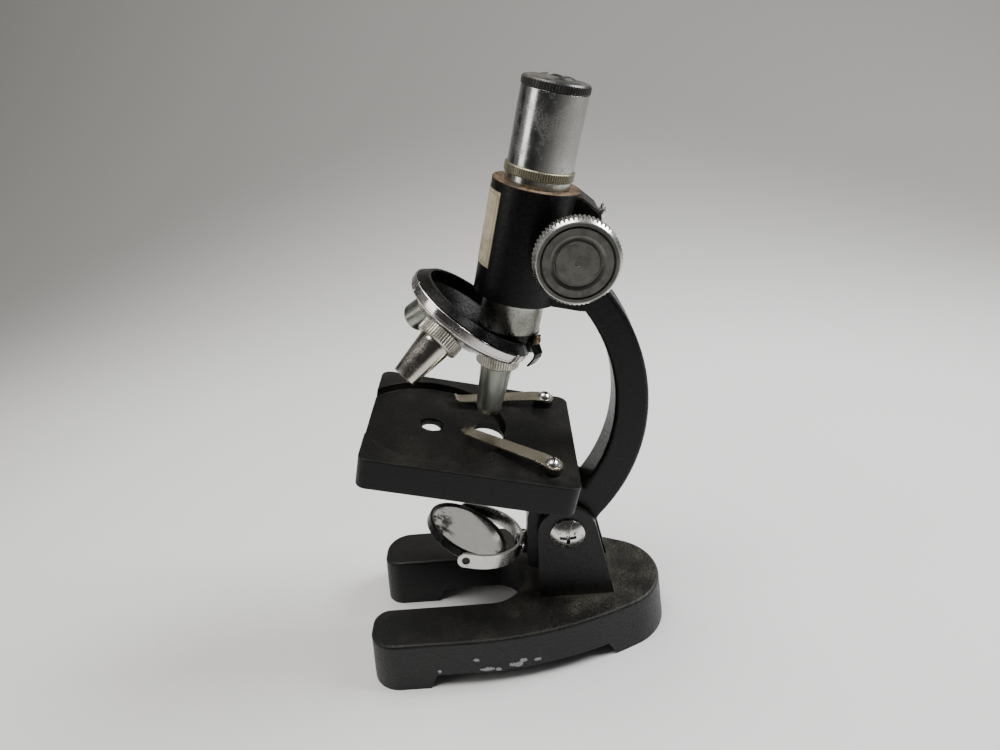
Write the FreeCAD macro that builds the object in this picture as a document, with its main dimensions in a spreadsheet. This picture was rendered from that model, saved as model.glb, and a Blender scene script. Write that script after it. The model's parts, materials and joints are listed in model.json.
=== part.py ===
import FreeCAD, Part

import math
import os

import Sketcher
from FreeCAD import Placement, Rotation, Vector

# A small student microscope on a horseshoe foot.  Millimetres, +Z up, the foot stands on Z = 0.
# The origin is under the middle of the foot, whose open end is at -Y; the limb is at +Y and the
# focus knob on the +X side.
# Parts of the stand are drawn from the point of the ground below the optical hole.
# Parts of the inclining arm are drawn in the arm's own frame: its origin is the point where the
# optical axis meets the stage top and its Z is the optical axis.  Parts of the turret are drawn
# from the apex, the point where the turret's axis crosses the optical axis.

doc = FreeCAD.newDocument("Microscope")
sheet = doc.addObject("Spreadsheet::Sheet", "Dims")

DRIVING = [
    # stand
    ("foot_half_width", 33.3, "outer half width of the horseshoe"),
    ("foot_front", -51.9, "tip of the prongs"),
    ("foot_bend_start", -13.3, "where the long side bow begins"),
    ("foot_side_bow", 145.0, "radius of the long side bow"),
    ("foot_rear_round", 21.0, "radius of the rear end"),
    ("foot_middle", 4.8217, "middle of the foot's length behind the stand's own origin"),
    ("foot_height", 20.2, "height of the horseshoe"),
    ("foot_draft", 4.4, "draft of the side walls, degrees"),
    ("foot_wall", 3.2, "wall of the hollow casting"),
    ("foot_roof", 3.6, "top wall of the hollow casting"),
    ("foot_edge", 1.3, "rounding of the top edge"),
    ("notch_half_width", 11.0, "half width of the horseshoe's notch"),
    ("notch_centre", -5.6, "centre of the notch's round end"),
    ("prong_outer_round", 11.0, "outer corner of a prong"),
    ("prong_inner_round", 7.5, "inner corner of a prong"),
    ("arch_front", -29.7, "front end of the side arch at the ground"),
    ("arch_rear", 40.5, "rear end of the side arch at the ground"),
    ("arch_slant", 3.0, "run of the arch's slanted ends"),
    ("arch_height", 6.0, "height of the side arch"),
    ("ear_outer", 10.2, "half width over the ears"),
    ("ear_inner", 7.3, "half width of the gap between the ears"),
    ("ear_round", 10.8, "rounding of the ears about the pivot"),
    ("ear_rear_foot", 41.5, "rear edge of the ears at the foot's top"),
    ("ear_front_foot", 12.8, "front edge of the ears at the foot's top"),
    ("ear_flare", 1.8, "how far the ears' sides flare out down to the foot"),
    ("ear_flat", 7.6, "flat of the ears' sides below the pivot"),
    ("ear_floor", 22.6, "floor of the gap between the ears"),
    ("pivot_back", 25.0, "pivot, distance behind the origin"),
    ("pivot_up", 48.7, "pivot, height above the ground"),
    ("pivot_pin", 2.0, "radius of the pivot screw"),
    ("pivot_bore", 2.05, "radius of the pivot bore"),
    # arm
    ("tilt", 15.1, "rest inclination of the optical axis, degrees"),
    ("arm_pivot_back", 35.0, "pivot behind the optical axis, arm frame"),
    ("arm_pivot_drop", 33.7, "pivot below the stage top, arm frame"),
    ("arm_half", 7.0, "half width of the limb and lug"),
    ("limb_outer_centre", -16.8, "centre of the limb's outer arc, back"),
    ("limb_outer_up", 5.2, "centre of the limb's outer arc, up"),
    ("limb_outer_round", 70.1, "radius of the limb's outer arc"),
    ("limb_inner_centre", -17.5, "centre of the limb's inner arc, back"),
    ("limb_inner_up", 7.5, "centre of the limb's inner arc, up"),
    ("limb_inner_round", 58.9, "radius of the limb's inner arc"),
    ("lug_round", 10.8, "rounding of the lug about the pivot"),
    ("lug_front", 19.9, "front face of the lug below the stage"),
    ("lug_bottom", -54.5, "lowest point of the lug"),
    ("lug_bottom_front", 23.8, "front face of the lug at its lower end"),
    ("top_blend", 9.0, "blend from the limb into the rack box"),
    ("low_blend", 8.0, "blend from the limb into the lug"),
    ("limb_edge", 1.6, "rounding of the limb's edges"),
    ("box_rear", 20.8, "rear face of the rack box"),
    ("box_top", 85.9, "top of the rack box at the housing"),
    ("box_half", 7.3, "half width of the rack box"),
    ("housing_out", 13.55, "radius of the tube housing"),
    ("housing_low", 51.3, "lower end of the tube housing"),
    ("housing_high", 86.6, "upper end of the tube housing"),
    # body tube
    ("tube_out", 10.0, "radius of the body tube"),
    ("tube_in", 9.1, "bore of the body tube"),
    ("tube_low", 40.3, "lower end of the plated tube"),
    ("tube_high", 88.9, "upper end of the body tube"),
    ("running_gap", 0.05, "radial gap of a running fit"),
    ("seat_gap", 0.02, "radial gap of a seated fit"),
    # rack and pinion
    ("gear_module", 0.5, "module of rack and pinion"),
    ("pinion_teeth", 12.0, "teeth on the pinion"),
    ("pinion_back", 13.3, "pinion axis behind the optical axis"),
    ("pinion_up", 72.0, "pinion axis above the stage top"),
    ("rack_half", 1.5, "half width of the rack"),
    ("rack_low", 59.0, "lower end of the rack"),
    ("rack_high", 75.8, "upper end of the rack"),
    ("shaft_round", 1.95, "radius of the pinion shaft"),
    ("bush_out", 4.5, "outer radius of the pinion bush"),
    ("boss_round", 6.6, "radius of the bearing boss"),
    ("boss_end", 19.6, "outer end of the bearing boss"),
    ("far_boss_end", 9.6, "outer end of the far bearing's boss"),
    # knob
    ("knob_back", 20.4, "inner face of the knob"),
    ("knob_face", 26.0, "outer face of the knob"),
    ("knob_round", 12.8, "outer radius of the knob"),
    ("knob_teeth", 60.0, "coarse teeth round the knob"),
    # stage
    ("stage_half", 30.75, "half width of the stage"),
    ("stage_front", -41.45, "front edge of the stage"),
    ("stage_rear", 30.75, "rear edge of the stage"),
    ("stage_skirt", 10.9, "height of the stage's skirt"),
    ("stage_plate", 4.4, "thickness of the stage's plate"),
    ("stage_wall", 2.4, "thickness of the skirt"),
    ("stage_corner", 3.6, "corner rounding of the stage"),
    ("recess_centre", -19.9, "centre of the round recess"),
    ("recess_round", 26.2, "radius of the round recess"),
    ("recess_floor", 2.2, "depth of the recess"),
    ("recess_groove", 24.9, "inner radius of the groove round the recess"),
    ("groove_floor", 3.0, "depth of the groove"),
    ("light_hole", 5.9, "radius of the optical hole"),
    ("disc_hole", 3.3, "radius of the second, smaller hole"),
    ("disc_counterbore", 4.3, "radius of that hole's upper part"),
    ("disc_step", 3.4, "depth of that hole's upper part below the stage top"),
    ("clip_side", 22.5, "clip screws, sideways"),
    ("clip_back", 20.8, "clip screws, back"),
    ("clip_boss", 3.6, "radius of the clip bosses"),
    ("clip_rise", 3.0, "height of the clip bosses"),
    # nosepiece and turret, distances from the apex
    ("apex_up", 64.4, "apex above the stage top"),
    ("turret_forward", 1.55, "apex in front of the optical axis"),
    ("turret_lean", 26.3, "angle between the turret's axis and the optical axis, degrees"),
    ("dome_edge_drop", 27.3, "lower edge of the dome's rim below the apex"),
    ("dome_edge", 22.1, "radius at which the dome's cone begins"),
    ("dome_rim", 22.4, "outer radius of the dome's rim"),
    ("dome_rim_top", 23.75, "upper edge of the dome's rim below the apex"),
    ("dome_flat", 5.0, "radius of the flat in the dome's middle"),
    ("dome_sheet", 1.5, "thickness of the dome, along its axis"),
    ("dish_gap", 0.25, "gap between the dish and the dome, along the axis"),
    ("dish_sheet", 1.8, "thickness of the dish, along its axis"),
    ("dish_lip", 19.3, "outer radius of the dish's lip"),
    ("dish_lip_drop", 21.4, "the dish's lip below the apex"),
    ("neck_out", 10.2, "radius of the dish's neck"),
    ("click_back", 10.88, "inner face of the click spring behind the optical axis"),
    ("click_drop", 1.4, "click spring's screw below the body tube"),
    ("objective_seat", 34.39, "where the objectives' collars start, below the apex"),
    ("collar_out", 7.3, "radius of an objective's collar"),
    ("collar_high", 4.2, "height of an objective's collar"),
    ("barrel_top", 5.4, "radius of an objective's barrel at the collar"),
    # eyepiece
    ("ring_out", 10.65, "radius of the knurled ring"),
    ("ring_high", 2.85, "height of the knurled ring"),
    ("barrel_high", 113.4, "upper end of the eyepiece barrel"),
    ("cap_out", 10.15, "radius of the eyepiece cap"),
    # mirror
    ("mirror_forward", -0.4, "mirror axis behind the optical axis"),
    ("mirror_drop", 48.2, "mirror axis below the stage top"),
    ("mirror_roll", -7.6, "rest roll of the strap, degrees"),
    ("mirror_pitch", -16.3, "rest tilt of the mirror, degrees"),
    ("strap_half", 18.5, "half width over the mirror strap"),
    ("strap_back", 21.4, "back of the strap behind the mirror axis"),
    ("strap_thick", 1.1, "thickness of the strap"),
    ("strap_high", 5.6, "height of the strap"),
    ("cell_out", 16.1, "radius of the mirror's cell"),
    ("glass_out", 14.95, "radius of the mirror's glass"),
    ("glass_shown", 14.4, "opening of the mirror's cell"),
]


class Size:
    """A number together with the sheet expression that it comes from."""

    def __init__(self, value, text):
        self.value = value
        self.text = text

    def __add__(self, other):
        other = size(other)
        return Size(self.value + other.value, "(%s + %s)" % (self.text, other.text))

    def __radd__(self, other):
        return size(other) + self

    def __sub__(self, other):
        other = size(other)
        return Size(self.value - other.value, "(%s - %s)" % (self.text, other.text))

    def __rsub__(self, other):
        return size(other) - self

    def __mul__(self, other):
        other = size(other)
        return Size(self.value * other.value, "(%s * %s)" % (self.text, other.text))

    def __rmul__(self, other):
        return size(other) * self

    def __truediv__(self, other):
        other = size(other)
        return Size(self.value / other.value, "(%s / %s)" % (self.text, other.text))

    def __neg__(self):
        return Size(-self.value, "(0 - %s)" % self.text)


def size(number):
    """Make a Size of a plain number, and leave a Size as it is."""
    if isinstance(number, Size):
        return number
    return Size(float(number), "%.6g" % number)


def root(number):
    return Size(math.sqrt(number.value), "sqrt(%s)" % number.text)


def sine(angle):
    return Size(math.sin(math.radians(angle.value)), "sin(%s)" % angle.text)


def cosine(angle):
    return Size(math.cos(math.radians(angle.value)), "cos(%s)" % angle.text)


def tangent(angle):
    return sine(angle) / cosine(angle)


class Sizes:
    """The driving dimensions, read as D.alias."""


D = Sizes()
for row, (alias, number, note) in enumerate(DRIVING, start=1):
    sheet.set("A%d" % row, alias.replace("_", " "))
    sheet.set("B%d" % row, str(number))
    sheet.set("C%d" % row, note)
    sheet.setAlias("B%d" % row, alias)
    setattr(D, alias, Size(float(number), "Dims." + alias))
doc.recompute()


# ---------------------------------------------------------------- frames

def turn(axis, degrees):
    return Placement(Vector(0, 0, 0), Rotation(Vector(*axis), degrees))


def move(x, y, z):
    return Placement(Vector(x, y, z), Rotation())


STAND = move(0, -D.foot_middle.value, 0)
ARM = (STAND * move(0, D.pivot_back.value, D.pivot_up.value)
       * turn((1, 0, 0), -D.tilt.value)
       * move(0, -D.arm_pivot_back.value, D.arm_pivot_drop.value))
# the nosepiece is screwed up a little past square, its near side towards the rear
NOSE_TURN = 8.0
TURRET = (ARM * turn((0, 0, 1), NOSE_TURN)
          * move(0, -D.turret_forward.value, D.apex_up.value)
          * turn((1, 0, 0), -D.turret_lean.value))
# the dome rests a little short of its click
DOME = TURRET * turn((0, 0, 1), -2.0)
PINION = ARM * move(0, D.pinion_back.value, D.pinion_up.value)
STRAP = (ARM * move(0, D.mirror_forward.value, -D.mirror_drop.value)
         * turn((0, 1, 0), D.mirror_roll.value))
MIRROR = STRAP * turn((1, 0, 0), D.mirror_pitch.value)


def station(number):
    """The frame of one objective: its Z runs up the objective's axis to the apex."""
    return DOME * turn((0, 0, 1), 120.0 * number) * turn((1, 0, 0), D.turret_lean.value)


def clip_frame(side, degrees):
    """A clip's frame: the origin on the stage top below its screw, -Y towards its tip."""
    place = move(side * D.clip_side.value, D.clip_back.value, 0)
    return ARM * place * turn((0, 0, 1), degrees)


# the click spring stands beside the tube, turned from the rear towards the knob's side
CLICK_TURN = 37.0
CLICK = ARM * turn((0, 0, 1), -CLICK_TURN)
NOTCH_TURN = 44.0
CLIP_NEAR_TURN = -31.0
CLIP_FAR_TURN = 11.5


# ---------------------------------------------------------------- drawing helpers

parts_made = []


def keep(piece, label, placement):
    """Name a finished piece, place it and put it on the list to be written."""
    piece.Label = label
    piece.Placement = placement
    parts_made.append(piece)
    return piece


def new_body(label, placement):
    return keep(doc.addObject("PartDesign::Body", label), label, placement)


def plane_of(body, role):
    for feature in body.Origin.OriginFeatures:
        if feature.Role == role:
            return feature
    raise ValueError(role)


def new_sketch(body, role, offset=None):
    """A sketch on one of the body's own planes, offset along the plane's normal if asked."""
    sketch = body.newObject("Sketcher::SketchObject", body.Name + "_sketch")
    sketch.AttachmentSupport = [(plane_of(body, role), "")]
    sketch.MapMode = "FlatFace"
    if offset is not None:
        offset = size(offset)
        sketch.AttachmentOffset = move(0, 0, offset.value)
        sketch.setExpression("AttachmentOffset.Base.z", offset.text)
    return sketch


def bind(sketch, kind, *arguments):
    """Add a constraint whose last argument is a Size, and bind it to the sheet."""
    target = size(arguments[-1])
    index = sketch.addConstraint(Sketcher.Constraint(kind, *arguments[:-1], target.value))
    if "Dims" in target.text:
        sketch.setExpression("Constraints[%d]" % index, target.text)


def pin_point(sketch, element, end, x, y):
    """Hold one end of an element at (x, y) from the sketch's origin."""
    x = size(x)
    y = size(y)
    if x.value == 0:
        sketch.addConstraint(Sketcher.Constraint("PointOnObject", element, end, -2))
    else:
        bind(sketch, "DistanceX", -1, 1, element, end, x)
    if y.value == 0:
        sketch.addConstraint(Sketcher.Constraint("PointOnObject", element, end, -1))
    else:
        bind(sketch, "DistanceY", -1, 1, element, end, y)


def arc_between(start, end, radius):
    """The shorter arc from start to end: to the left of its chord's centre if radius > 0."""
    chord = end - start
    half = chord.Length / 2
    normal = Vector(-chord.y, chord.x, 0)
    normal.normalize()
    height = math.sqrt(max(radius * radius - half * half, 0))
    centre = start + chord * 0.5 + normal * (height if radius > 0 else -height)
    first, last = (start, end) if radius > 0 else (end, start)
    angles = [math.atan2(point.y - centre.y, point.x - centre.x) for point in (first, last)]
    circle = Part.Circle(centre, Vector(0, 0, 1), abs(radius))
    return Part.ArcOfCircle(circle, angles[0], angles[1])


def outline(sketch, corners):
    """A closed outline.  A corner is (x, y), or (x, y, radius) when an arc leads to it."""
    points = [Vector(size(c[0]).value, size(c[1]).value, 0) for c in corners]
    first = None
    ends = []
    for index, corner in enumerate(corners):
        start = points[index - 1]
        end = points[index]
        if len(corner) == 3:
            radius = size(corner[2])
            element = sketch.addGeometry(arc_between(start, end, radius.value))
            ends.append((element, 1, 2) if radius.value > 0 else (element, 2, 1))
            length = radius if radius.value > 0 else -radius
            bind(sketch, "Radius", element, length)
        else:
            element = sketch.addGeometry(Part.LineSegment(start, end))
            ends.append((element, 1, 2))
        if first is None:
            first = element
    for index, corner in enumerate(corners):
        element, _, last_end = ends[index]
        following, first_end, _ = ends[(index + 1) % len(corners)]
        sketch.addConstraint(Sketcher.Constraint("Coincident", element, last_end, following, first_end))
        pin_point(sketch, element, last_end, corner[0], corner[1])
    return sketch


def circle(sketch, x, y, radius):
    centre = Vector(size(x).value, size(y).value, 0)
    element = sketch.addGeometry(Part.Circle(centre, Vector(0, 0, 1), size(radius).value))
    bind(sketch, "Radius", element, radius)
    pin_point(sketch, element, 3, x, y)
    return sketch


def rectangle(sketch, left, low, right, high):
    return outline(sketch, [(right, low), (right, high), (left, high), (left, low)])


def extrude(body, kind, sketch, length, symmetric=False, reverse=False):
    """A Pad or a Pocket; length None cuts through everything."""
    feature = body.newObject("PartDesign::" + kind, kind)
    feature.Profile = sketch
    if length is None:
        feature.Type = "ThroughAll"
    else:
        length = size(length)
        feature.Length = length.value
        if "Dims" in length.text:
            feature.setExpression("Length", length.text)
    if symmetric:
        feature.SideType = "Symmetric"
    feature.Reversed = reverse
    return feature


def pad(body, sketch, length, symmetric=False, reverse=False):
    return extrude(body, "Pad", sketch, length, symmetric, reverse)


def pocket(body, sketch, length, symmetric=False, reverse=False):
    return extrude(body, "Pocket", sketch, length, symmetric, reverse)


def spin(body, sketch, axis="V_Axis", kind="Revolution"):
    """Revolve the sketch fully round one of its own axes, or cut that away."""
    feature = body.newObject("PartDesign::" + kind, kind)
    feature.Profile = sketch
    feature.ReferenceAxis = (sketch, [axis])
    feature.Angle = 360
    return feature


def turned_body(label, placement, corners, axis="V_Axis"):
    """A turned piece: corners are (radius, height), or (length, radius) round the X axis."""
    body = new_body(label, placement)
    spin(body, outline(new_sketch(body, "XZ_Plane"), corners), axis)
    return body


def round_edges(body, radius, wanted):
    """Fillet the edges of the body's tip that wanted() picks."""
    doc.recompute()
    base = body.Tip
    names = ["Edge%d" % (number + 1) for number, edge in enumerate(base.Shape.Edges) if wanted(edge)]
    feature = body.newObject("PartDesign::Fillet", "Fillet")
    feature.Base = (base, names)
    radius = size(radius)
    feature.Radius = radius.value
    if "Dims" in radius.text:
        feature.setExpression("Radius", radius.text)
    return feature


def polygon_prism(points, vector):
    """A straight prism on a closed polygon."""
    return Part.Face(Part.makePolygon(points + points[:1])).extrude(vector)


def feature_of(label, placement, shape):
    """A piece whose shape is worked out in code."""
    return keep_shape(doc.addObject("Part::Feature", label), label, placement, shape)


def keep_shape(piece, label, placement, shape):
    piece.Shape = shape
    return keep(piece, label, placement * shape.Placement)


def toothed_ring(corners, teeth, depth, low, high):
    """A turned blank, its corners (radius, height), with straight teeth cut round it."""
    blank = Part.Face(Part.makePolygon([Vector(r, 0, z) for r, z in corners + corners[:1]]))
    blank = blank.revolve(Vector(0, 0, 0), Vector(0, 0, 1), 360)
    outer = max(r for r, z in corners) + 0.01
    points = []
    for tooth in range(teeth):
        for step, radius in ((0.0, outer - depth), (0.28, outer), (0.62, outer), (0.9, outer - depth)):
            angle = 2 * math.pi * (tooth + step) / teeth
            points.append(Vector(radius * math.cos(angle), radius * math.sin(angle), low))
    return blank.common(polygon_prism(points, Vector(0, 0, high - low)))


# ---------------------------------------------------------------- stand

def foot_corners(inset):
    """The horseshoe seen from above, drawn in by inset, from the right side round to the left."""
    side = D.foot_half_width - inset
    bow = D.foot_side_bow - inset
    rear_round = D.foot_rear_round - inset
    start = D.foot_bend_start
    reach = bow - rear_round
    offset = bow - side
    rear_centre = start + root(reach * reach - offset * offset)
    meet_x = side - bow + bow * offset / reach
    meet_y = start + bow * (rear_centre - start) / reach
    notch = D.notch_half_width + inset
    front = D.foot_front + inset
    outer_round = D.prong_outer_round - inset
    inner_round = D.prong_inner_round - inset
    right = [
        (notch, D.notch_centre, notch * -1),
        (notch, front + inner_round),
        (notch + inner_round, front, inner_round),
        (side - outer_round, front),
        (side, front + outer_round, outer_round),
        (side, start),
        (meet_x, meet_y, bow),
        (size(0), rear_centre + rear_round, rear_round),
    ]
    left = [
        (-meet_x, meet_y, rear_round),
        (-side, start, bow),
        (-side, front + outer_round),
        (outer_round - side, front, outer_round),
        (-(notch + inner_round), front),
        (-notch, front + inner_round, inner_round),
        (-notch, D.notch_centre),
        (size(0), D.notch_centre + notch, notch * -1),
    ]
    return right + left


def ear_tangent(run, drop):
    """Where the ears' edge from the foot touches their round top, from the pivot."""
    reach = run * run + drop * drop
    touch = root(reach - D.ear_round * D.ear_round)
    out = (D.ear_round * D.ear_round * run + D.ear_round * touch * drop) / reach
    up = (D.ear_round * touch * run - D.ear_round * D.ear_round * drop) / reach
    return out, up


def base_casting():
    body = new_body("base_casting", STAND)
    block = pad(body, outline(new_sketch(body, "XY_Plane"), foot_corners(size(0))), D.foot_height)
    block.TaperAngle = -D.foot_draft.value
    top = D.foot_height.value
    round_edges(body, D.foot_edge, lambda edge: min(v.Z for v in edge.Vertexes) > top - 0.01)
    hollow = new_sketch(body, "XY_Plane")
    outline(hollow, foot_corners(D.foot_wall))
    pocket(body, hollow, D.foot_height - D.foot_roof, reverse=True)
    # the ears: a block between the notch and the slanted rear edge, round about the pivot
    foot = D.foot_height - 1.0
    rear_y, rear_z = ear_tangent(D.ear_rear_foot - D.pivot_back, D.pivot_up - foot)
    front_y, front_z = ear_tangent(D.pivot_back - D.ear_front_foot, D.pivot_up - foot)
    profile = new_sketch(body, "YZ_Plane")
    outline(profile, [
        (D.ear_front_foot, foot),
        (D.ear_rear_foot, foot),
        (D.pivot_back + rear_y, D.pivot_up + rear_z),
        (D.pivot_back, D.pivot_up + D.ear_round, D.ear_round),
        (D.pivot_back - front_y, D.pivot_up + front_z, D.ear_round),
    ])
    pad(body, profile, (D.ear_outer + D.ear_flare) * 2, symmetric=True)
    # the sides are flat round the pivot and flare out below it
    flat = D.pivot_up - D.ear_flat
    beyond = D.ear_outer + D.ear_flare + 3
    for side in (1, -1):
        flare = new_sketch(body, "XZ_Plane", -D.pivot_back)
        outline(flare, [
            ((D.ear_outer + D.ear_flare) * side, D.foot_height + 0.1),
            (beyond * side, D.foot_height + 0.1),
            (beyond * side, D.pivot_up + 20),
            (D.ear_outer * side, D.pivot_up + 20),
            (D.ear_outer * side, flat),
        ])
        pocket(body, flare, size(60), symmetric=True)
    gap = new_sketch(body, "XZ_Plane", -D.pivot_back)
    rectangle(gap, -D.ear_inner, D.ear_floor, D.ear_inner, D.pivot_up + 20)
    pocket(body, gap, size(60), symmetric=True)
    bore = new_sketch(body, "YZ_Plane")
    circle(bore, D.pivot_back, D.pivot_up, D.pivot_bore)
    pocket(body, bore, D.ear_outer * 3, symmetric=True)
    arch = new_sketch(body, "YZ_Plane")
    outline(arch, [
        (D.arch_rear + 1, size(-2.25)),
        (D.arch_rear - D.arch_slant, D.arch_height),
        (D.arch_front + D.arch_slant, D.arch_height),
        (D.arch_front - 1, size(-2.25)),
    ])
    pocket(body, arch, D.foot_half_width * 3, symmetric=True)
    return body


def phillips(body, role, height, depth, span, width):
    """A cross recess cut down into a screw's head."""
    for across, along in ((span, width), (width, span)):
        slot = new_sketch(body, role, height)
        rectangle(slot, across * -0.5, along * -0.5, across * 0.5, along * 0.5)
        pocket(body, slot, depth)


def screw(label, placement, head, rise, shank, length, recess):
    """A domed screw whose head's underside lies on Z = 0 and whose shank runs down."""
    head = size(head)
    rise = size(rise)
    rim = rise * 0.25
    dome = rise - rim
    sphere = (head * head + dome * dome) / (dome * 2)
    body = new_body(label, placement)
    profile = new_sketch(body, "XZ_Plane")
    outline(profile, [
        (size(0), -size(length)),
        (shank, -size(length)),
        (shank, size(0)),
        (head, size(0)),
        (head, rim),
        (size(0), rise, sphere),
    ])
    spin(body, profile)
    phillips(body, "XY_Plane", rise + 0.01, recess, head * 0.95, head * 0.2)
    return body


def pivot_pieces():
    gap = D.ear_outer.value
    place = STAND * move(gap, D.pivot_back.value, D.pivot_up.value) * turn((0, 1, 0), 90)
    screw("pivot_screw", place, 6.3, 3.0, D.pivot_pin, D.ear_outer * 2 + 3.6, 1.9)
    flats = 4.0
    corners = [Vector(0, flats * math.cos(math.radians(60 * k)), flats * math.sin(math.radians(60 * k)))
               for k in range(6)]
    shape = polygon_prism(corners, Vector(-3.0, 0, 0))
    shape = shape.cut(Part.makeCylinder(D.pivot_pin.value + D.seat_gap.value, 4, Vector(0.5, 0, 0),
                                        Vector(-1, 0, 0)))
    place = STAND * move(-gap - 0.02, D.pivot_back.value, D.pivot_up.value)
    feature_of("pivot_nut", place, shape)
    washers = []
    for side in (1, -1):
        inner = D.arm_half.value + 0.02
        thickness = D.ear_inner.value - 0.02 - inner
        disc = Part.makeCylinder(5.5, thickness, Vector(side * inner, 0, 0), Vector(side, 0, 0))
        hole = Part.makeCylinder(D.pivot_bore.value, 4, Vector(side * (inner - 1), 0, 0), Vector(side, 0, 0))
        washers.append(disc.cut(hole))
    place = STAND * move(0, D.pivot_back.value, D.pivot_up.value)
    feature_of("pivot_washers", place, Part.makeCompound(washers))


# ---------------------------------------------------------------- arm

def on_arc(centre_back, radius, back):
    """Height above the centre at which an arc passes the given distance back."""
    run = back - centre_back
    return root(radius * radius - run * run)


def toward(ring, back, up):
    """The point of a circle (centre back, centre up, radius) on the side of another point."""
    run = back - ring[0]
    rise = up - ring[1]
    share = ring[2] / root(run * run + rise * rise)
    return ring[0] + run * share, ring[1] + rise * share


def blend_centre(first, second, radius):
    """Centre of the round blend between two crossing circles, on their right-hand side."""
    run = second[0] - first[0]
    rise = second[1] - first[1]
    apart = root(run * run + rise * rise)
    near = first[2] + radius
    far = second[2] + radius
    along = (near * near - far * far + apart * apart) / (apart * 2)
    across = root(near * near - along * along)
    return (first[0] + (run * along - rise * across) / apart,
            first[1] + (rise * along + run * across) / apart)


def tangent_point(ring, back, up):
    """Where the tangent from a point touches a circle, on the circle's right-hand side."""
    run = back - ring[0]
    rise = up - ring[1]
    apart = run * run + rise * rise
    share = ring[2] * ring[2] / apart
    across = ring[2] * root(apart - ring[2] * ring[2]) / apart
    return ring[0] + run * share - rise * across, ring[1] + rise * share + run * across


def arm_casting():
    body = new_body("arm_casting", ARM)
    limb = (D.limb_outer_centre, D.limb_outer_up, D.limb_outer_round)
    lug = (D.arm_pivot_back, -D.arm_pivot_drop, D.lug_round)
    # round blends from the limb into the box above it and into the lug below it
    blend = D.top_blend
    blend_back = D.box_rear + blend
    blend_up = D.limb_outer_up + on_arc(D.limb_outer_centre, D.limb_outer_round + blend, blend_back)
    top_back, top_up = toward(limb, blend_back, blend_up)
    low_blend = D.low_blend
    hollow_back, hollow_up = blend_centre(limb, lug, low_blend)
    limb_back, limb_up = toward(limb, hollow_back, hollow_up)
    lug_back, lug_up = toward(lug, hollow_back, hollow_up)
    heel_back = D.lug_bottom_front + 6.0
    tail_back, tail_up = tangent_point(lug, heel_back, D.lug_bottom)
    inner_high_back = size(22.0)
    inner_high = D.limb_inner_up + on_arc(D.limb_inner_centre, D.limb_inner_round, inner_high_back)
    inner_low_back = size(36.8)
    inner_low = D.limb_inner_up - on_arc(D.limb_inner_centre, D.limb_inner_round, inner_low_back)
    profile = new_sketch(body, "YZ_Plane")
    outline(profile, [
        (size(6.0), D.housing_low - 0.3),
        (inner_high_back - 1.5, D.housing_low - 0.3),
        (inner_high_back, inner_high),
        (inner_low_back, inner_low, -D.limb_inner_round),
        (size(33.5), -D.stage_skirt - 0.25, size(5.5) * -1),
        (D.stage_rear - D.stage_wall - 0.3, -D.stage_skirt - 0.25),
        (D.stage_rear - D.stage_wall - 0.3, -D.stage_plate - 0.05),
        (D.lug_front, -D.stage_plate - 0.05),
        (D.lug_front, size(-32.0)),
        (D.lug_bottom_front, D.lug_bottom + 2.0),
        (D.lug_bottom_front + 2.2, D.lug_bottom, size(2.3)),
        (heel_back, D.lug_bottom),
        (tail_back, tail_up),
        (lug_back, lug_up, D.lug_round),
        (limb_back, limb_up, -low_blend),
        (top_back, top_up, D.limb_outer_round),
        (D.box_rear, blend_up, -blend),
        (D.box_rear, D.box_top - 5.2),
        (D.box_rear - 1.4, D.box_top - 3.0),
        (size(13.7), D.box_top),
        (size(6.0), D.box_top),
    ])
    pad(body, profile, D.arm_half * 2, symmetric=True)

    def long_arc(edge):
        middle = edge.CenterOfMass
        return abs(abs(middle.x) - D.arm_half.value) < 0.01 and middle.y > 25 and edge.Length > 60

    round_edges(body, D.limb_edge, long_arc)
    # the housing, the wider rack box and the bearing boss
    barrel = new_sketch(body, "XY_Plane", D.housing_low)
    circle(barrel, 0, 0, D.housing_out)
    pad(body, barrel, D.housing_high - D.housing_low)
    cheeks = new_sketch(body, "YZ_Plane")
    outline(cheeks, [
        (size(6.0), D.housing_low + 6.0),
        (D.box_rear - 2.0, D.housing_low + 6.0),
        (D.box_rear - 0.4, D.housing_low + 9.0),
        (D.box_rear - 0.4, D.box_top - 5.6),
        (D.box_rear - 1.8, D.box_top - 3.4),
        (size(13.7), D.box_top - 0.4),
        (size(6.0), D.box_top - 0.4),
    ])
    pad(body, cheeks, D.box_half * 2, symmetric=True)
    boss = new_sketch(body, "YZ_Plane")
    circle(boss, D.pinion_back, D.pinion_up, D.boss_round)
    pad(body, boss, D.boss_end)
    far_boss = new_sketch(body, "YZ_Plane")
    circle(far_boss, D.pinion_back, D.pinion_up, size(4.6))
    pad(body, far_boss, D.far_boss_end, reverse=True)
    # bore for the tube, slot for the rack, cavity for the pinion and its bearings
    bore = new_sketch(body, "XY_Plane", D.housing_low - 2)
    circle(bore, 0, 0, D.tube_out + D.running_gap)
    pocket(body, bore, size(60), reverse=True)
    slot = new_sketch(body, "XY_Plane", D.housing_low - 2)
    rectangle(slot, -D.rack_half - 0.3, size(5.0), D.rack_half + 0.3, D.tube_out + 1.4)
    pocket(body, slot, D.box_top - 2.3 - (D.housing_low - 2), reverse=True)
    cavity = new_sketch(body, "YZ_Plane")
    circle(cavity, D.pinion_back, D.pinion_up, D.gear_module * (D.pinion_teeth / 2 + 1) + 0.35)
    pocket(body, cavity, size(4.8), symmetric=True)
    near = new_sketch(body, "YZ_Plane", size(5.35))
    circle(near, D.pinion_back, D.pinion_up, D.bush_out)
    pocket(body, near, size(30), reverse=True)
    far = new_sketch(body, "YZ_Plane")
    circle(far, D.pinion_back, D.pinion_up, D.shaft_round + D.running_gap)
    pocket(body, far, size(40), symmetric=True)
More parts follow.
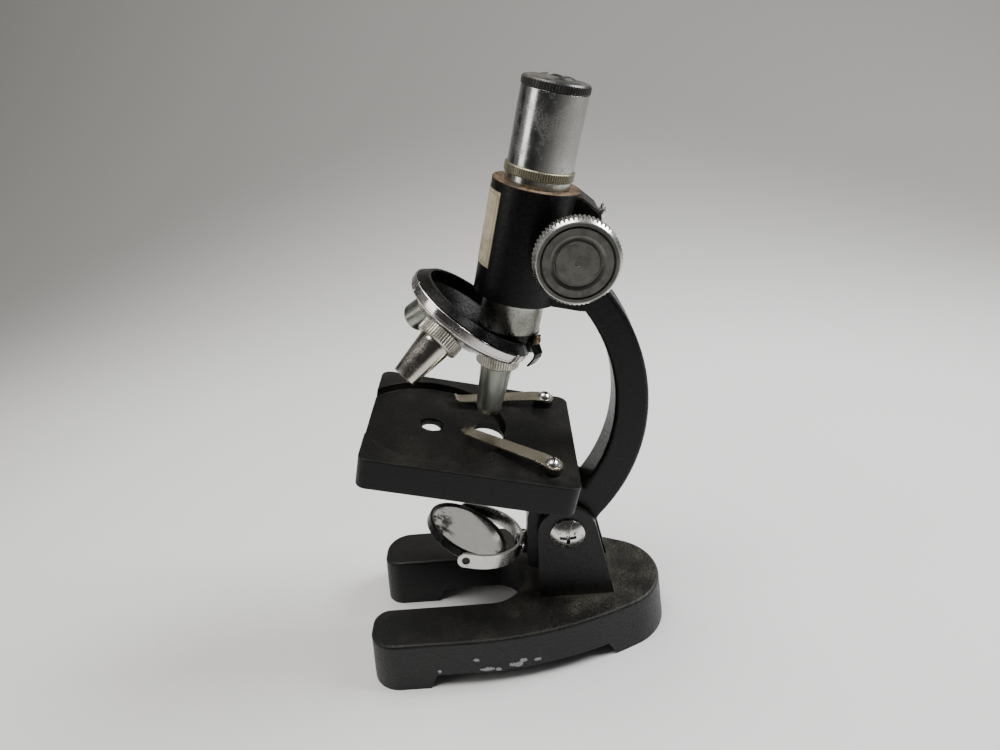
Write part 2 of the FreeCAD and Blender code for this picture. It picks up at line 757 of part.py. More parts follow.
    # pocket for the tension shoe, thread for its screw, and a pad for the mirror strap
    shoe = new_sketch(body, "XY_Plane", D.box_top - 6.6)
    rectangle(shoe, size(-4.1), size(4.0), size(4.1), size(13.6))
    pocket(body, shoe, size(4.2), reverse=True)
    thread = new_sketch(body, "XZ_Plane", size(-30))
    circle(thread, 0, D.box_top - 4.5, size(1.22))
    pocket(body, thread, size(18), reverse=True)
    seat = new_sketch(body, "XZ_Plane", -(D.lug_front + 6))
    circle(seat, 0, -D.mirror_drop, size(4.4))
    pad(body, seat, D.lug_front + 6 - (D.mirror_forward + D.strap_back + 0.8))
    stem = new_sketch(body, "XZ_Plane", -(D.mirror_forward + D.strap_back - 3))
    circle(stem, 0, -D.mirror_drop, size(1.42))
    pocket(body, stem, size(13))
    # flange below the stage's plate and the holes for the stage's screws
    flange = new_sketch(body, "XY_Plane", -D.stage_plate - 0.05)
    rectangle(flange, size(-14), D.lug_front, size(14), D.stage_rear - D.stage_wall - 0.3)
    pad(body, flange, size(3.0), reverse=True)
    holes = new_sketch(body, "XY_Plane")
    for side in (-10.6, 10.6):
        circle(holes, size(side), D.lug_front + 4.0, size(1.6))
    pocket(body, holes, size(10))
    pivot = new_sketch(body, "YZ_Plane")
    circle(pivot, D.arm_pivot_back, -D.arm_pivot_drop, D.pivot_bore)
    pocket(body, pivot, D.arm_half * 3, symmetric=True)
    return body


def tension_pieces():
    tube = Part.makeCylinder(D.tube_out.value + D.seat_gap.value, 20, Vector(0, 0, 70))
    low = D.box_top.value - 6.5
    shoe = Part.makeBox(8, 9.4, 4, Vector(-4, 4.1, low))
    slot = Part.makeBox(2 * D.rack_half.value + 0.6, 8, 6, Vector(-D.rack_half.value - 0.3, 4, low - 1))
    slot.translate(Vector(0, -0.6, 0))
    shape = shoe.cut(tube).cut(slot)
    feature_of("tension_shoe", ARM, shape)
    place = ARM * move(0, D.box_rear.value + 0.02, D.box_top.value - 4.5) * turn((1, 0, 0), -90)
    screw("tension_screw", place, 2.6, 1.7, 1.2, 7.1, 1.0)


def stage_plate():
    body = new_body("stage_plate", ARM)
    half = D.stage_half
    corner = D.stage_corner

    def plan(inset, sketch):
        side = half - inset
        front = D.stage_front + inset
        rear = D.stage_rear - inset
        turn_in = corner - inset
        return outline(sketch, [
            (side, front + turn_in, turn_in),
            (side, rear - turn_in),
            (side - turn_in, rear, turn_in),
            (turn_in - side, rear),
            (-side, rear - turn_in, turn_in),
            (-side, front + turn_in),
            (turn_in - side, front, turn_in),
            (side - turn_in, front),
        ])

    pad(body, plan(size(0), new_sketch(body, "XY_Plane")), D.stage_skirt, reverse=True)
    round_edges(body, size(0.5), lambda edge: min(v.Z for v in edge.Vertexes) > -0.01)
    under = plan(D.stage_wall, new_sketch(body, "XY_Plane", -D.stage_skirt))
    pocket(body, under, D.stage_skirt - D.stage_plate, reverse=True)
    for radius, depth in ((D.recess_round, D.recess_floor), (D.recess_round, D.groove_floor)):
        recess = new_sketch(body, "XY_Plane")
        circle(recess, 0, D.recess_centre, radius)
        if depth is D.groove_floor:
            circle(recess, 0, D.recess_centre, D.recess_groove)
        pocket(body, recess, depth)
    holes = new_sketch(body, "XY_Plane")
    circle(holes, 0, 0, D.light_hole)
    circle(holes, 0, D.recess_centre, D.disc_hole)
    pocket(body, holes, D.stage_skirt)
    step = new_sketch(body, "XY_Plane")
    circle(step, 0, D.recess_centre, D.disc_counterbore)
    pocket(body, step, D.disc_step)
    bosses = new_sketch(body, "XY_Plane", size(-0.5))
    for side in (-1, 1):
        circle(bosses, D.clip_side * side, D.clip_back, D.clip_boss)
    pad(body, bosses, D.clip_rise + 0.5)
    threads = new_sketch(body, "XY_Plane", D.clip_rise)
    for side in (-1, 1):
        circle(threads, D.clip_side * side, D.clip_back, size(1.22))
    pocket(body, threads, D.clip_rise + D.stage_plate + 1)
    fixings = new_sketch(body, "XY_Plane", -D.stage_plate)
    for side in (-10.6, 10.6):
        circle(fixings, size(side), D.lug_front + 4.0, size(1.42))
    pocket(body, fixings, size(2.2), reverse=True)
    return body


def grouped_screws(label, placements, head, rise, shank, length):
    """Several equal pan-head screws in one piece of the list."""
    solids = []
    for place in placements:
        dome = (head * head + rise * rise) / (2 * rise)
        ball = Part.makeSphere(dome, Vector(0, 0, rise - dome))
        cap = Part.makeCylinder(head, rise).common(ball)
        cap = cap.fuse(Part.makeCylinder(shank, length, Vector(0, 0, -length)))
        for across, along in ((head, head * 0.22), (head * 0.22, head)):
            cap = cap.cut(Part.makeBox(across, along, rise, Vector(-across / 2, -along / 2, rise * 0.45)))
        cap = cap.removeSplitter()
        cap.Placement = place
        solids.append(cap)
    return feature_of(label, ARM, Part.makeCompound(solids))


def label_piece():
    """A paper label wrapped round the front of the housing."""
    low = 60.5
    high = 83.7
    thick = 0.12
    inner = D.housing_out.value + D.seat_gap.value
    ring = Part.makeCylinder(inner + thick, high - low, Vector(0, 0, low))
    ring = ring.cut(Part.makeCylinder(inner, high - low + 2, Vector(0, 0, low - 1)))
    half_angle = math.radians(40)
    reach = 30
    wedge = polygon_prism([
        Vector(0, 0, low - 2),
        Vector(-reach * math.sin(half_angle), -reach * math.cos(half_angle), low - 2),
        Vector(reach * math.sin(half_angle), -reach * math.cos(half_angle), low - 2),
    ], Vector(0, 0, high - low + 4))
    return feature_of("label", ARM, ring.common(wedge))


# ---------------------------------------------------------------- body tube and nosepiece

def focus_tube():
    low = D.tube_low
    spigot = D.tube_in - 0.5
    body = turned_body("focus_tube", ARM, [
        (D.tube_in, D.tube_high),
        (D.tube_in, low + 12),
        (D.tube_in - 1.2, low + 11),
        (D.tube_in - 1.2, low - 3.4),
        (spigot, low - 3.4),
        (spigot, low),
        (D.tube_out, low),
        (D.tube_out, D.tube_high),
    ])
    slot = new_sketch(body, "XZ_Plane", size(-16))
    rectangle(slot, -D.rack_half - 0.02, D.rack_low - 0.02, D.rack_half + 0.02, D.rack_high + 0.02)
    pocket(body, slot, size(12), reverse=True)
    return body


def involute_profile(module, teeth, outer, base, root_radius, thickness):
    """Corners of a spur pinion with involute flanks above its base circle."""
    pitch = module * teeth / 2

    def swing(radius):
        angle = math.acos(base / radius)
        return math.tan(angle) - angle

    steps = 4
    flank = [base + (outer - base) * step / steps for step in range(steps + 1)]
    half_angle = thickness / (2 * pitch)
    points = []
    for tooth in range(teeth):
        centre = 2 * math.pi * tooth / teeth
        rising = []
        for radius in flank:
            offset = half_angle + swing(pitch) - swing(radius)
            rising.append((radius, offset))
        foot_offset = half_angle + swing(pitch)
        left = [(root_radius, foot_offset)] + rising
        for radius, offset in left:
            points.append((radius, centre - offset))
        for radius, offset in reversed(left):
            points.append((radius, centre + offset))
    return points


def rack_and_pinion():
    module = D.gear_module.value
    teeth = int(D.pinion_teeth.value)
    pitch = module * teeth / 2
    spacing = math.pi * module
    pressure = math.radians(20)
    slack = 0.14
    tip = 0.32
    root_depth = 0.62
    line = D.pinion_back.value - pitch
    inner = D.tube_in.value + 0.05
    low = D.rack_low.value
    high = D.rack_high.value
    half = (spacing - slack) / 4
    outline_points = [(inner, low), (line - root_depth, low)]
    first = math.ceil((low - D.pinion_up.value + half + 0.4) / spacing)
    last = math.floor((high - D.pinion_up.value - half - 0.4) / spacing)
    for number in range(first, last + 1):
        middle = D.pinion_up.value + (number + 0.5) * spacing
        if middle + half + 0.3 > high:
            break
        spread = root_depth * math.tan(pressure)
        taper = tip * math.tan(pressure)
        outline_points.append((line - root_depth, middle - half - spread))
        outline_points.append((line + tip, middle - half + taper))
        outline_points.append((line + tip, middle + half - taper))
        outline_points.append((line - root_depth, middle + half + spread))
    outline_points.append((line - root_depth, high))
    outline_points.append((inner, high))
    points = [Vector(-D.rack_half.value, y, z) for y, z in outline_points]
    feature_of("rack", ARM, polygon_prism(points, Vector(2 * D.rack_half.value, 0, 0)))

    corners = involute_profile(module, teeth, pitch + 0.48, pitch * math.cos(pressure), pitch - 0.56,
                               (spacing - slack) / 2)
    # a tooth lies on the line from the axis towards the rack, between two rack teeth
    points = [Vector(-1.4, -r * math.cos(a), r * math.sin(a)) for r, a in corners]
    gear = polygon_prism(points, Vector(2.8, 0, 0))
    shaft = D.shaft_round.value
    far_end = -D.far_boss_end.value - 2.4
    rod = Part.makeCylinder(shaft, D.knob_face.value - 1.6 - far_end, Vector(far_end, 0, 0), Vector(1, 0, 0))
    feature_of("pinion_shaft", PINION, gear.fuse(rod).removeSplitter())


def nosepiece_dish():
    slope = tangent(D.turret_lean)
    edge = D.dome_rim - 1.35 - D.dish_gap
    cone = D.dome_edge_drop - D.dome_sheet - D.dish_gap

    def under(radius):
        return -(cone + (D.dome_edge - radius) * slope)

    def over(radius):
        return under(radius) + D.dish_sheet

    body = new_body("nosepiece_dish", TURRET)
    profile = new_sketch(body, "XZ_Plane")
    outline(profile, [
        (size(0), under(D.dome_flat)),
        (D.dome_flat, under(D.dome_flat)),
        (edge, under(edge)),
        (edge, -D.dome_rim_top + 0.2),
        (D.dome_rim - 0.5, -D.dome_rim_top + 0.2),
        (D.dish_lip, -D.dish_lip_drop),
        (D.dish_lip - 0.9, -D.dish_lip_drop),
        (D.dish_lip - 1.3, over(D.dish_lip - 1.3)),
        (D.dome_flat, over(D.dome_flat)),
        (size(0), over(D.dome_flat)),
    ])
    spin(body, profile)
    # the neck follows the optical axis, which leans across the dish
    drop = D.apex_up - D.tube_low
    neck = body.newObject("Sketcher::SketchObject", "neck")
    neck.AttachmentSupport = [(plane_of(body, "XY_Plane"), "")]
    neck.MapMode = "FlatFace"
    lean = D.turret_lean.value
    upright = turn((1, 0, 0), lean) * move(0, D.turret_forward.value, 0)
    top = upright * move(0, 0, -drop.value)
    neck.AttachmentOffset = top
    circle(neck, 0, 0, D.neck_out)
    pad(body, neck, size(16), reverse=True)
    boss = new_sketch(body, "XY_Plane", over(D.dome_flat) - 1)
    circle(boss, 0, 0, size(3.6))
    pad(body, boss, size(2.8))
    # a small boss on the neck carries the click spring
    screw_up = D.tube_low - D.apex_up - D.click_drop
    across = (turn((1, 0, 0), -90) * upright * turn((0, 0, 1), -NOSE_TURN - CLICK_TURN)
              * turn((1, 0, 0), 90))
    rest = new_sketch(body, "XZ_Plane")
    rest.AttachmentOffset = across * move(0, 0, -D.click_back.value)
    circle(rest, 0, screw_up, size(1.3))
    pad(body, rest, size(1.9))
    # clear the space of the rotating dome
    clear = new_sketch(body, "XZ_Plane")
    outline(clear, [
        (size(0), under(D.dome_flat)),
        (size(0), size(-60)),
        (size(40), size(-60)),
        (size(40), -D.dome_rim_top + 0.2),
        (edge, -D.dome_rim_top + 0.2),
        (edge, under(edge)),
        (D.dome_flat, under(D.dome_flat)),
    ])
    spin(body, clear, kind="Groove")
    seat = new_sketch(body, "XY_Plane")
    seat.AttachmentOffset = top
    circle(seat, 0, 0, D.tube_in - 0.5 + D.seat_gap)
    pocket(body, seat, size(3.5))
    light = new_sketch(body, "XY_Plane")
    light.AttachmentOffset = top
    circle(light, 0, 0, size(6.4))
    pocket(body, light, size(30))
    thread = new_sketch(body, "XY_Plane", under(D.dome_flat) - 1)
    circle(thread, 0, 0, size(2.02))
    pocket(body, thread, size(3.6), reverse=True)
    # thread of the click spring's screw, in the neck
    thread = new_sketch(body, "XZ_Plane")
    thread.AttachmentOffset = across * move(0, 0, -20)
    circle(thread, 0, screw_up, size(0.92))
    pocket(body, thread, size(15), reverse=True)
    return body


def bent_strip(points, thickness, width, taper=None):
    """A strip of sheet: its lower line is (along, up) points, and its middle is on X = 0."""
    line = [Vector(0, y, z) for y, z in points]
    upper = []
    for index, point in enumerate(line):
        before = line[max(index - 1, 0)]
        after = line[min(index + 1, len(line) - 1)]
        first = point - before if index else after - point
        second = after - point if index < len(line) - 1 else first
        first.normalize()
        second.normalize()
        normal = Vector(0, -(first.z + second.z), first.y + second.y)
        normal.normalize()
        lean = Vector(0, -first.z, first.y).dot(normal)
        upper.append(point + normal * (thickness / lean))
    shape = polygon_prism(line + upper[::-1], Vector(width, 0, 0))
    shape.translate(Vector(-width / 2, 0, 0))
    if taper is not None:
        first_half, last_half, first_y, last_y = taper
        corners = [Vector(-first_half, first_y, -60), Vector(first_half, first_y, -60),
                   Vector(last_half, last_y, -60), Vector(-last_half, last_y, -60)]
        shape = shape.common(polygon_prism(corners, Vector(0, 0, 160)))
    return shape


def click_pieces():
    """The leaf that clicks into the dome's notches, and its screw."""
    near = D.click_back.value + 0.02
    low = D.tube_low.value
    drop = D.click_drop.value
    thick = 0.6
    path = [(near, low - 0.1), (near, low - 3.1), (near + 1.85, low - 5.7), (near + 1.7, low - 7.1),
            (near + 0.9, low - 8.7), (near, low - 10.3)]
    leaf = bent_strip(path, thick, 4.2)
    hole = Part.makeCylinder(0.95, 6, Vector(0, near - 2, low - drop), Vector(0, 1, 0))
    feature_of("click_spring", CLICK, leaf.cut(hole))
    place = CLICK * move(0, near + thick + 0.02, low - drop) * turn((1, 0, 0), -90)
    screw("click_screw", place, 1.6, 1.2, 0.88, 2.4, 0.6)


def turret_dome():
    slope = tangent(D.turret_lean)

    def outer(radius):
        return -(D.dome_edge_drop + (D.dome_edge - radius) * slope)

    def inner(radius):
        return outer(radius) + D.dome_sheet

    wall = D.dome_rim - 1.35
    screw_hole = size(2.05)
    body = turned_body("turret_dome", DOME, [
        (screw_hole, outer(D.dome_flat)),
        (D.dome_flat, outer(D.dome_flat)),
        (D.dome_edge - 1.2, outer(D.dome_edge - 1.2)),
        (D.dome_rim - 0.35, -D.dome_edge_drop + 0.5, size(1.7)),
        (D.dome_rim - 0.35, -D.dome_rim_top - 2.6),
        (D.dome_rim, -D.dome_rim_top - 2.35),
        (D.dome_rim, -D.dome_rim_top - 0.4),
        (D.dome_rim - 0.4, -D.dome_rim_top, size(0.4)),
        (wall, -D.dome_rim_top),
        (wall, inner(wall)),
        (D.dome_flat, inner(D.dome_flat)),
        (screw_hole, inner(D.dome_flat)),
    ])
    seat = new_sketch(body, "XY_Plane")
    seat.AttachmentOffset = turn((1, 0, 0), D.turret_lean.value) * move(0, 0, -D.objective_seat.value - 1)
    circle(seat, 0, 0, size(4.3))
    hole = pocket(body, seat, size(4), reverse=True)
    three_times(body, hole)
    notch = new_sketch(body, "XY_Plane", -D.dome_edge_drop - 1)
    angle = math.radians(NOTCH_TURN)
    circle(notch, D.dome_rim * math.cos(angle), D.dome_rim * math.sin(angle), size(0.8))
    cut = pocket(body, notch, size(8), reverse=True)
    three_times(body, cut)
    return body


def three_times(body, feature):
    """Repeat a feature at the turret's three stations."""
    pattern = body.newObject("PartDesign::PolarPattern", "PolarPattern")
    pattern.Originals = [feature]
    pattern.Axis = (plane_of(body, "Z_Axis"), [""])
    pattern.Angle = 360
    pattern.Occurrences = 3
    body.Tip = pattern
    return pattern


def turret_screw():
    slope = math.tan(math.radians(D.turret_lean.value))
    flat = -(D.dome_edge_drop.value + (D.dome_edge.value - D.dome_flat.value) * slope)
    place = TURRET * move(0, 0, flat - 0.05) * turn((1, 0, 0), 180)
    screw("turret_screw", place, 3.3, 1.5, 2.0, 4.2, 0.9)


def objective(name, number, tip, taper_end, nose, front):
    """One objective: tip is its length below the seat, front the radius of its front opening."""
    seat = D.objective_seat
    thread = size(4.25)
    end = seat + tip
    shoulder = seat + taper_end[0]
    bore = size(3.3)
    corners = [
        (bore, 0 - (seat - 1.35)),
        (bore, 0 - (shoulder - 3.0)),
        (size(front), 0 - (shoulder - 0.6)),
        (size(front), 0 - end),
        (size(nose), 0 - end),
        (size(taper_end[1]), 0 - shoulder),
        (D.barrel_top, 0 - (seat + D.collar_high + 1.0)),
        (D.barrel_top, 0 - seat),
        (thread, 0 - seat),
        (thread, 0 - (seat - 1.35)),
    ]
    if taper_end[0] >= tip:
        corners.pop(5)
    turned_body("objective_%s_barrel" % name, station(number), corners)
    high = D.collar_high.value - 0.05
    top = -seat.value - 0.03
    inner = D.barrel_top.value + D.seat_gap.value
    outer = D.collar_out.value
    blank = [(inner, top - high), (outer - 0.5, top - high), (outer, top - high + 0.5),
             (outer, top - 0.4), (outer - 0.4, top), (inner, top)]
    feature_of("objective_%s_collar" % name, station(number),
               toothed_ring(blank, 52, 0.24, top - high - 1, top + 1))
    lens = lens_shape(front + 0.9, front - 0.03, 0.9, 0.3)
    lens.translate(Vector(0, 0, -(end.value - 0.45)))
    blank = lens.common(Part.makeCylinder(front - 0.02, 6, Vector(0, 0, -end.value)))
    feature_of("objective_%s_lens" % name, station(number), blank)


def lens_shape(edge, clear, thickness, bulge):
    """A plano-convex lens, its flat side up and its crown reaching down by bulge."""
    ball_radius = (clear * clear + bulge * bulge) / (2 * bulge)
    disc = Part.makeCylinder(edge, thickness)
    crown = Part.makeSphere(ball_radius, Vector(0, 0, ball_radius - bulge))
    crown = crown.common(Part.makeCylinder(clear, bulge + 0.1, Vector(0, 0, -bulge - 0.05)))
    return disc.fuse(crown).removeSplitter()


# ---------------------------------------------------------------- knob

def knob_pieces():
    turned = turn((0, 1, 0), 90)
    place = PINION * move(D.knob_back.value, 0, 0) * turned
    deep = D.knob_face.value - D.knob_back.value
    rim = D.knob_round.value
    bore = D.shaft_round.value + D.seat_gap.value
    blank = [
        (0.0, deep - 1.55), (bore, deep - 1.55), (bore, 0.0), (6.2, 0.0), (6.2, 0.9), (rim - 1.6, 0.9),
        (rim - 1.2, 0.4), (rim - 0.5, 0.4), (rim, 0.9), (rim, deep - 1.3), (rim - 0.9, deep),
        (rim - 2.05, deep), (rim - 2.2, deep - 0.7), (rim - 2.6, deep - 0.7), (rim - 2.75, deep - 0.15),
        (rim - 4.8, deep - 0.2), (rim - 5.4, deep - 0.5), (rim - 5.9, deep - 0.75),
        (rim - 6.3, deep - 0.7), (rim - 6.65, deep - 0.1), (0.9, deep - 0.1), (0.7, deep - 0.35),
        (0.0, deep - 0.35),
    ]
    teeth = int(D.knob_teeth.value)
    feature_of("focus_knob", place, toothed_ring(blank, teeth, 0.62, -1, deep + 1))
    low = 5.4
    high = D.boss_end.value + 0.4
    bush = Part.makeCylinder(D.bush_out.value - D.seat_gap.value, high - low, Vector(0, 0, low))
    bush = bush.cut(Part.makeCylinder(D.shaft_round.value + D.running_gap.value, 40))
    feature_of("pinion_bush", PINION * turned, bush)
    far = D.far_boss_end.value
    turned_body("pinion_retainer", PINION * move(-far - 0.05, 0, 0) * turn((0, 1, 0), -90), [
        (size(bore), size(0)),
        (size(3.6), size(0)),
        (size(3.6), size(1.5)),
        (size(3.1), size(2.1)),
        (size(bore), size(2.1)),
    ])


# ---------------------------------------------------------------- eyepiece

def eyepiece_pieces():
    ring_low = D.tube_high + 0.05
    ring_high = ring_low + D.ring_high
    sleeve = D.tube_in - D.running_gap
    bore = size(8.3)
    top = D.barrel_high
    turned_body("eyepiece_barrel", ARM, [
        (bore, D.tube_high - 14),
        (sleeve, D.tube_high - 14),
        (sleeve, ring_high),
        (D.tube_out, ring_high),
        (D.tube_out, top - 0.25),
        (D.tube_out - 0.25, top),
        (bore, top),
    ])
    low = ring_low.value
    high = ring_high.value - 0.03
    outer = D.ring_out.value
    inner = sleeve.value + D.seat_gap.value
    blank = [(inner, low), (outer - 0.3, low), (outer, low + 0.3), (outer, high - 0.3),
             (outer - 0.3, high), (inner, high)]
    feature_of("eyepiece_ring", ARM, toothed_ring(blank, 90, 0.2, low - 1, high + 1))
    rim = D.cap_out.value
    base = top.value + 0.03
    blank = [(7.2, base - 2.6), (8.26, base - 2.6), (8.26, base), (rim - 0.15, base), (rim, base + 0.2),
             (rim, base + 1.9), (rim - 0.5, base + 2.5), (rim - 1.5, base + 2.75), (5.4, base + 2.95),
             (4.6, base + 3.5), (3.9, base + 3.5), (3.7, base + 3.2), (3.7, base + 1.6),
             (5.3, base + 1.6), (5.3, base - 0.2), (7.2, base - 0.2)]
    feature_of("eyepiece_cap", ARM, toothed_ring(blank, 72, 0.22, base - 4, base + 6))
    lens = lens_shape(5.25, 3.6, 1.5, 1.5)
    lens.rotate(Vector(0, 0, 0), Vector(1, 0, 0), 180)
    lens.translate(Vector(0, 0, base + 1.55))
    feature_of("eye_lens", ARM, lens)
    hold = top.value + 0.03
    turned_body("eye_lens_ring", ARM, [
        (size(4.2), size(hold - 2.5)), (size(7.17), size(hold - 2.5)), (size(7.17), size(hold - 0.25)),
        (size(5.2), size(hold - 0.25)), (size(5.2), size(hold)), (size(4.2), size(hold)),
    ])
    stop = D.tube_high + 8
    turned_body("eyepiece_stop", ARM, [
        (size(4.6), stop), (bore - 0.02, stop), (bore - 0.02, stop + 1), (size(4.6), stop + 0.4),
    ])
    field = D.tube_high - 13.9
    lens = lens_shape(8.26, 7.4, 1.2, 1.6)
    lens.rotate(Vector(0, 0, 0), Vector(1, 0, 0), 180)
    lens.translate(Vector(0, 0, field.value + 2.8))
    feature_of("field_lens", ARM, lens)
    turned_body("field_lens_ring", ARM, [
        (size(7.2), field), (bore - 0.02, field), (bore - 0.02, field + 1.5), (size(7.2), field + 1.5),
    ])
    baffle = D.tube_low + 13
    turned_body("tube_baffle", ARM, [
        (size(4.2), baffle), (D.tube_in - 0.02, baffle), (D.tube_in - 0.02, baffle + 1),
        (size(4.2), baffle + 0.4),
    ])


# ---------------------------------------------------------------- stage clips and mirror

def stage_clip(label, placement):
    """A spring clip that turns on its screw: flat on the boss, then down to a curled tip."""
    low = D.clip_rise.value + 0.04
    thick = 0.55
    path = [(3.4, low), (-4.6, low), (-31.4, 0.28), (-32.7, 0.32), (-33.7, 0.6), (-34.5, 1.1)]
    strip = bent_strip(path, -thick, 9, (3.35, 2.35, 3.5, -35))
    end = Part.makeCylinder(3.35, 30, Vector(0, 0, -10))
    keep_box = Part.makeBox(20, 60, 40, Vector(-10, -60, -10))
    strip = strip.common(end.fuse(keep_box))
    hole = Part.makeCylinder(1.25, 20, Vector(0, 0, -5))
    return feature_of(label, placement, strip.cut(hole))


def stage_fittings():
    stage_clip("clip_near", clip_frame(1, CLIP_NEAR_TURN))
    stage_clip("clip_far", clip_frame(-1, CLIP_FAR_TURN))
    over = D.clip_rise.value + 0.66
    places = [move(side * D.clip_side.value, D.clip_back.value, over) for side in (1, -1)]
    grouped_screws("clip_screws", places, 2.65, 1.7, 1.2, 6.2)
    under = D.stage_plate.value + 0.05 + 3.0 + 0.03
    places = [move(side, D.lug_front.value + 4.0, -under) * turn((1, 0, 0), 180) for side in (-10.6, 10.6)]
    grouped_screws("stage_screws", places, 2.7, 1.6, 1.4, 4.9)


def mirror_pieces():
    half = D.strap_half
    inner = half - D.strap_thick
    centre = D.strap_back - half
    end = size(-3.0)
    body = new_body("mirror_strap", STRAP)
    band = outline(new_sketch(body, "XY_Plane"), [
        (half, end),
        (half, centre),
        (size(0), centre + half, half),
        (-half, centre, half),
        (-half, end),
        (-inner, end),
        (-inner, centre),
        (size(0), centre + inner, inner * -1),
        (inner, centre, inner * -1),
        (inner, end),
    ])
    pad(body, band, D.strap_high, symmetric=True)
    round_edges(body, D.strap_high / 2 - 0.1,
                lambda edge: edge.BoundBox.YMax < end.value + 0.01 and edge.BoundBox.XLength > 0.5)
    holes = new_sketch(body, "YZ_Plane")
    circle(holes, 0, 0, size(1.5))
    pocket(body, holes, half * 3, symmetric=True)
    stem = new_sketch(body, "XZ_Plane", size(-10))
    circle(stem, 0, 0, size(1.45))
    pocket(body, stem, size(20))
    place = STRAP * move(0, D.strap_back.value - D.strap_thick.value - 0.27, 0) * turn((1, 0, 0), 90)
    screw("strap_screw", place, 2.7, 1.5, 1.4, 7.5, 0.9)
    turned_body("strap_washer", STRAP * move(0, D.strap_back.value + 0.04, 0) * turn((1, 0, 0), -90), [
        (size(1.45), size(0)), (size(3.7), size(0)), (size(3.7), size(0.7)), (size(1.45), size(0.7)),
    ])
    pocket_out = D.glass_out + 0.08
    cell = turned_body("mirror_cell", MIRROR, [
        (size(0), size(-2.6)),
        (size(12.5), size(-2.6)),
        (D.cell_out, size(-1.0), size(4.5)),
        (D.cell_out, size(1.8)),
        (D.cell_out - 0.4, size(2.2), size(0.4)),
        (D.cell_out - 1.0, size(2.15)),
        (D.glass_shown, size(1.75)),
        (D.glass_shown, size(1.58)),
        (pocket_out, size(1.58)),
        (pocket_out, size(-0.55)),
        (size(0), size(-0.55)),
    ])
    pins = new_sketch(cell, "YZ_Plane")
    circle(pins, 0, 0, size(1.44))
    pocket(cell, pins, size(40), symmetric=True)
    turned_body("mirror_glass", MIRROR, [
        (size(0), size(-0.5)), (D.glass_out, size(-0.5)), (D.glass_out, size(1.5)), (size(0), size(1.5)),
    ])
    pair = []
    for side in (1, -1):
        start = D.glass_out.value + 0.16
        stop = D.strap_half.value - 0.35
        pair.append(Part.makeCylinder(1.42, stop - start, Vector(side * start, 0, 0), Vector(side, 0, 0)))
    feature_of("mirror_pins", MIRROR, Part.makeCompound(pair))


def build_all():
    base_casting()
    pivot_pieces()
    arm_casting()
    tension_pieces()
    stage_plate()
    label_piece()
    stage_fittings()
    mirror_pieces()
    focus_tube()
    rack_and_pinion()
    nosepiece_dish()
    click_pieces()
    turret_dome()
    turret_screw()
    objective("high", 0, 22.7, (20.8, 4.4), 3.6, 1.6)
    objective("medium", -1, 18.3, (18.3, 3.85), 3.85, 2.3)
    objective("low", 1, 13.8, (12.8, 4.9), 4.1, 2.8)
    knob_pieces()
    eyepiece_pieces()


build_all()
doc.recompute()
for item in doc.Objects:
    if "Invalid" in item.State or "Error" in item.State:
        raise ValueError("%s did not build" % item.Label)
for piece in parts_made:
    if piece.Shape.isNull() or not piece.Shape.isValid():
        raise ValueError("%s has no valid shape" % piece.Label)

os.makedirs("parts", exist_ok=True)
for piece in parts_made:
    piece.Shape.exportStep("parts/%s.step" % piece.Label)
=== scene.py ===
import json
import math

import bpy
import bmesh
from mathutils import Matrix, Vector


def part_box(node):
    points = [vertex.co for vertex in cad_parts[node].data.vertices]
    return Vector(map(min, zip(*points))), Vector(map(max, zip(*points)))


# Looks of the microscope: every CAD piece keeps its shape and gets a procedural finish.
# Lengths are in metres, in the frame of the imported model.

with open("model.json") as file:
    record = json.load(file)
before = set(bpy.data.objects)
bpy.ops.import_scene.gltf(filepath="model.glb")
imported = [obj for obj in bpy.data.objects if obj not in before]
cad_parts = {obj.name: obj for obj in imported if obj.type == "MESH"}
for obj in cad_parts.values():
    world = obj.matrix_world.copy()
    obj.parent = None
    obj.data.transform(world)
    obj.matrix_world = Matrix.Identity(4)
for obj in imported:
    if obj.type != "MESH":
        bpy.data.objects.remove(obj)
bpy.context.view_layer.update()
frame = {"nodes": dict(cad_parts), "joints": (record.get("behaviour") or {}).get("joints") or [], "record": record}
nodes = frame["nodes"]
joints = {joint["name"]: joint for joint in frame["joints"]}

MM = 0.001

# The leaning frames start this far back along their joint's axis.
ARM_BACK = 60 * MM
TURRET_BACK = -35 * MM


def joint_frame(name, distance):
    """Origin and lean of a frame whose Z is the joint's axis, distance back along it."""
    axis = Vector(joints[name]["axis"]).normalized()
    origin = Vector(joints[name]["pos_m"]) - axis * distance
    return origin, -math.atan2(axis.y, axis.z)


ARM_ORIGIN, ARM_LEAN = joint_frame("focus_slide", ARM_BACK)
TURRET_ORIGIN, TURRET_LEAN = joint_frame("turret_turn", TURRET_BACK)
PINION = Vector(joints["focus_turn"]["pos_m"])
PIVOT = Vector(joints["inclination"]["pos_m"])


# ---------------------------------------------------------------- node helper

# Sockets of the Mix node for each kind of value: factor, first, second, and the result.
MIX_SOCKETS = {"RGBA": (0, 6, 7, 2), "FLOAT": (0, 2, 3, 0)}


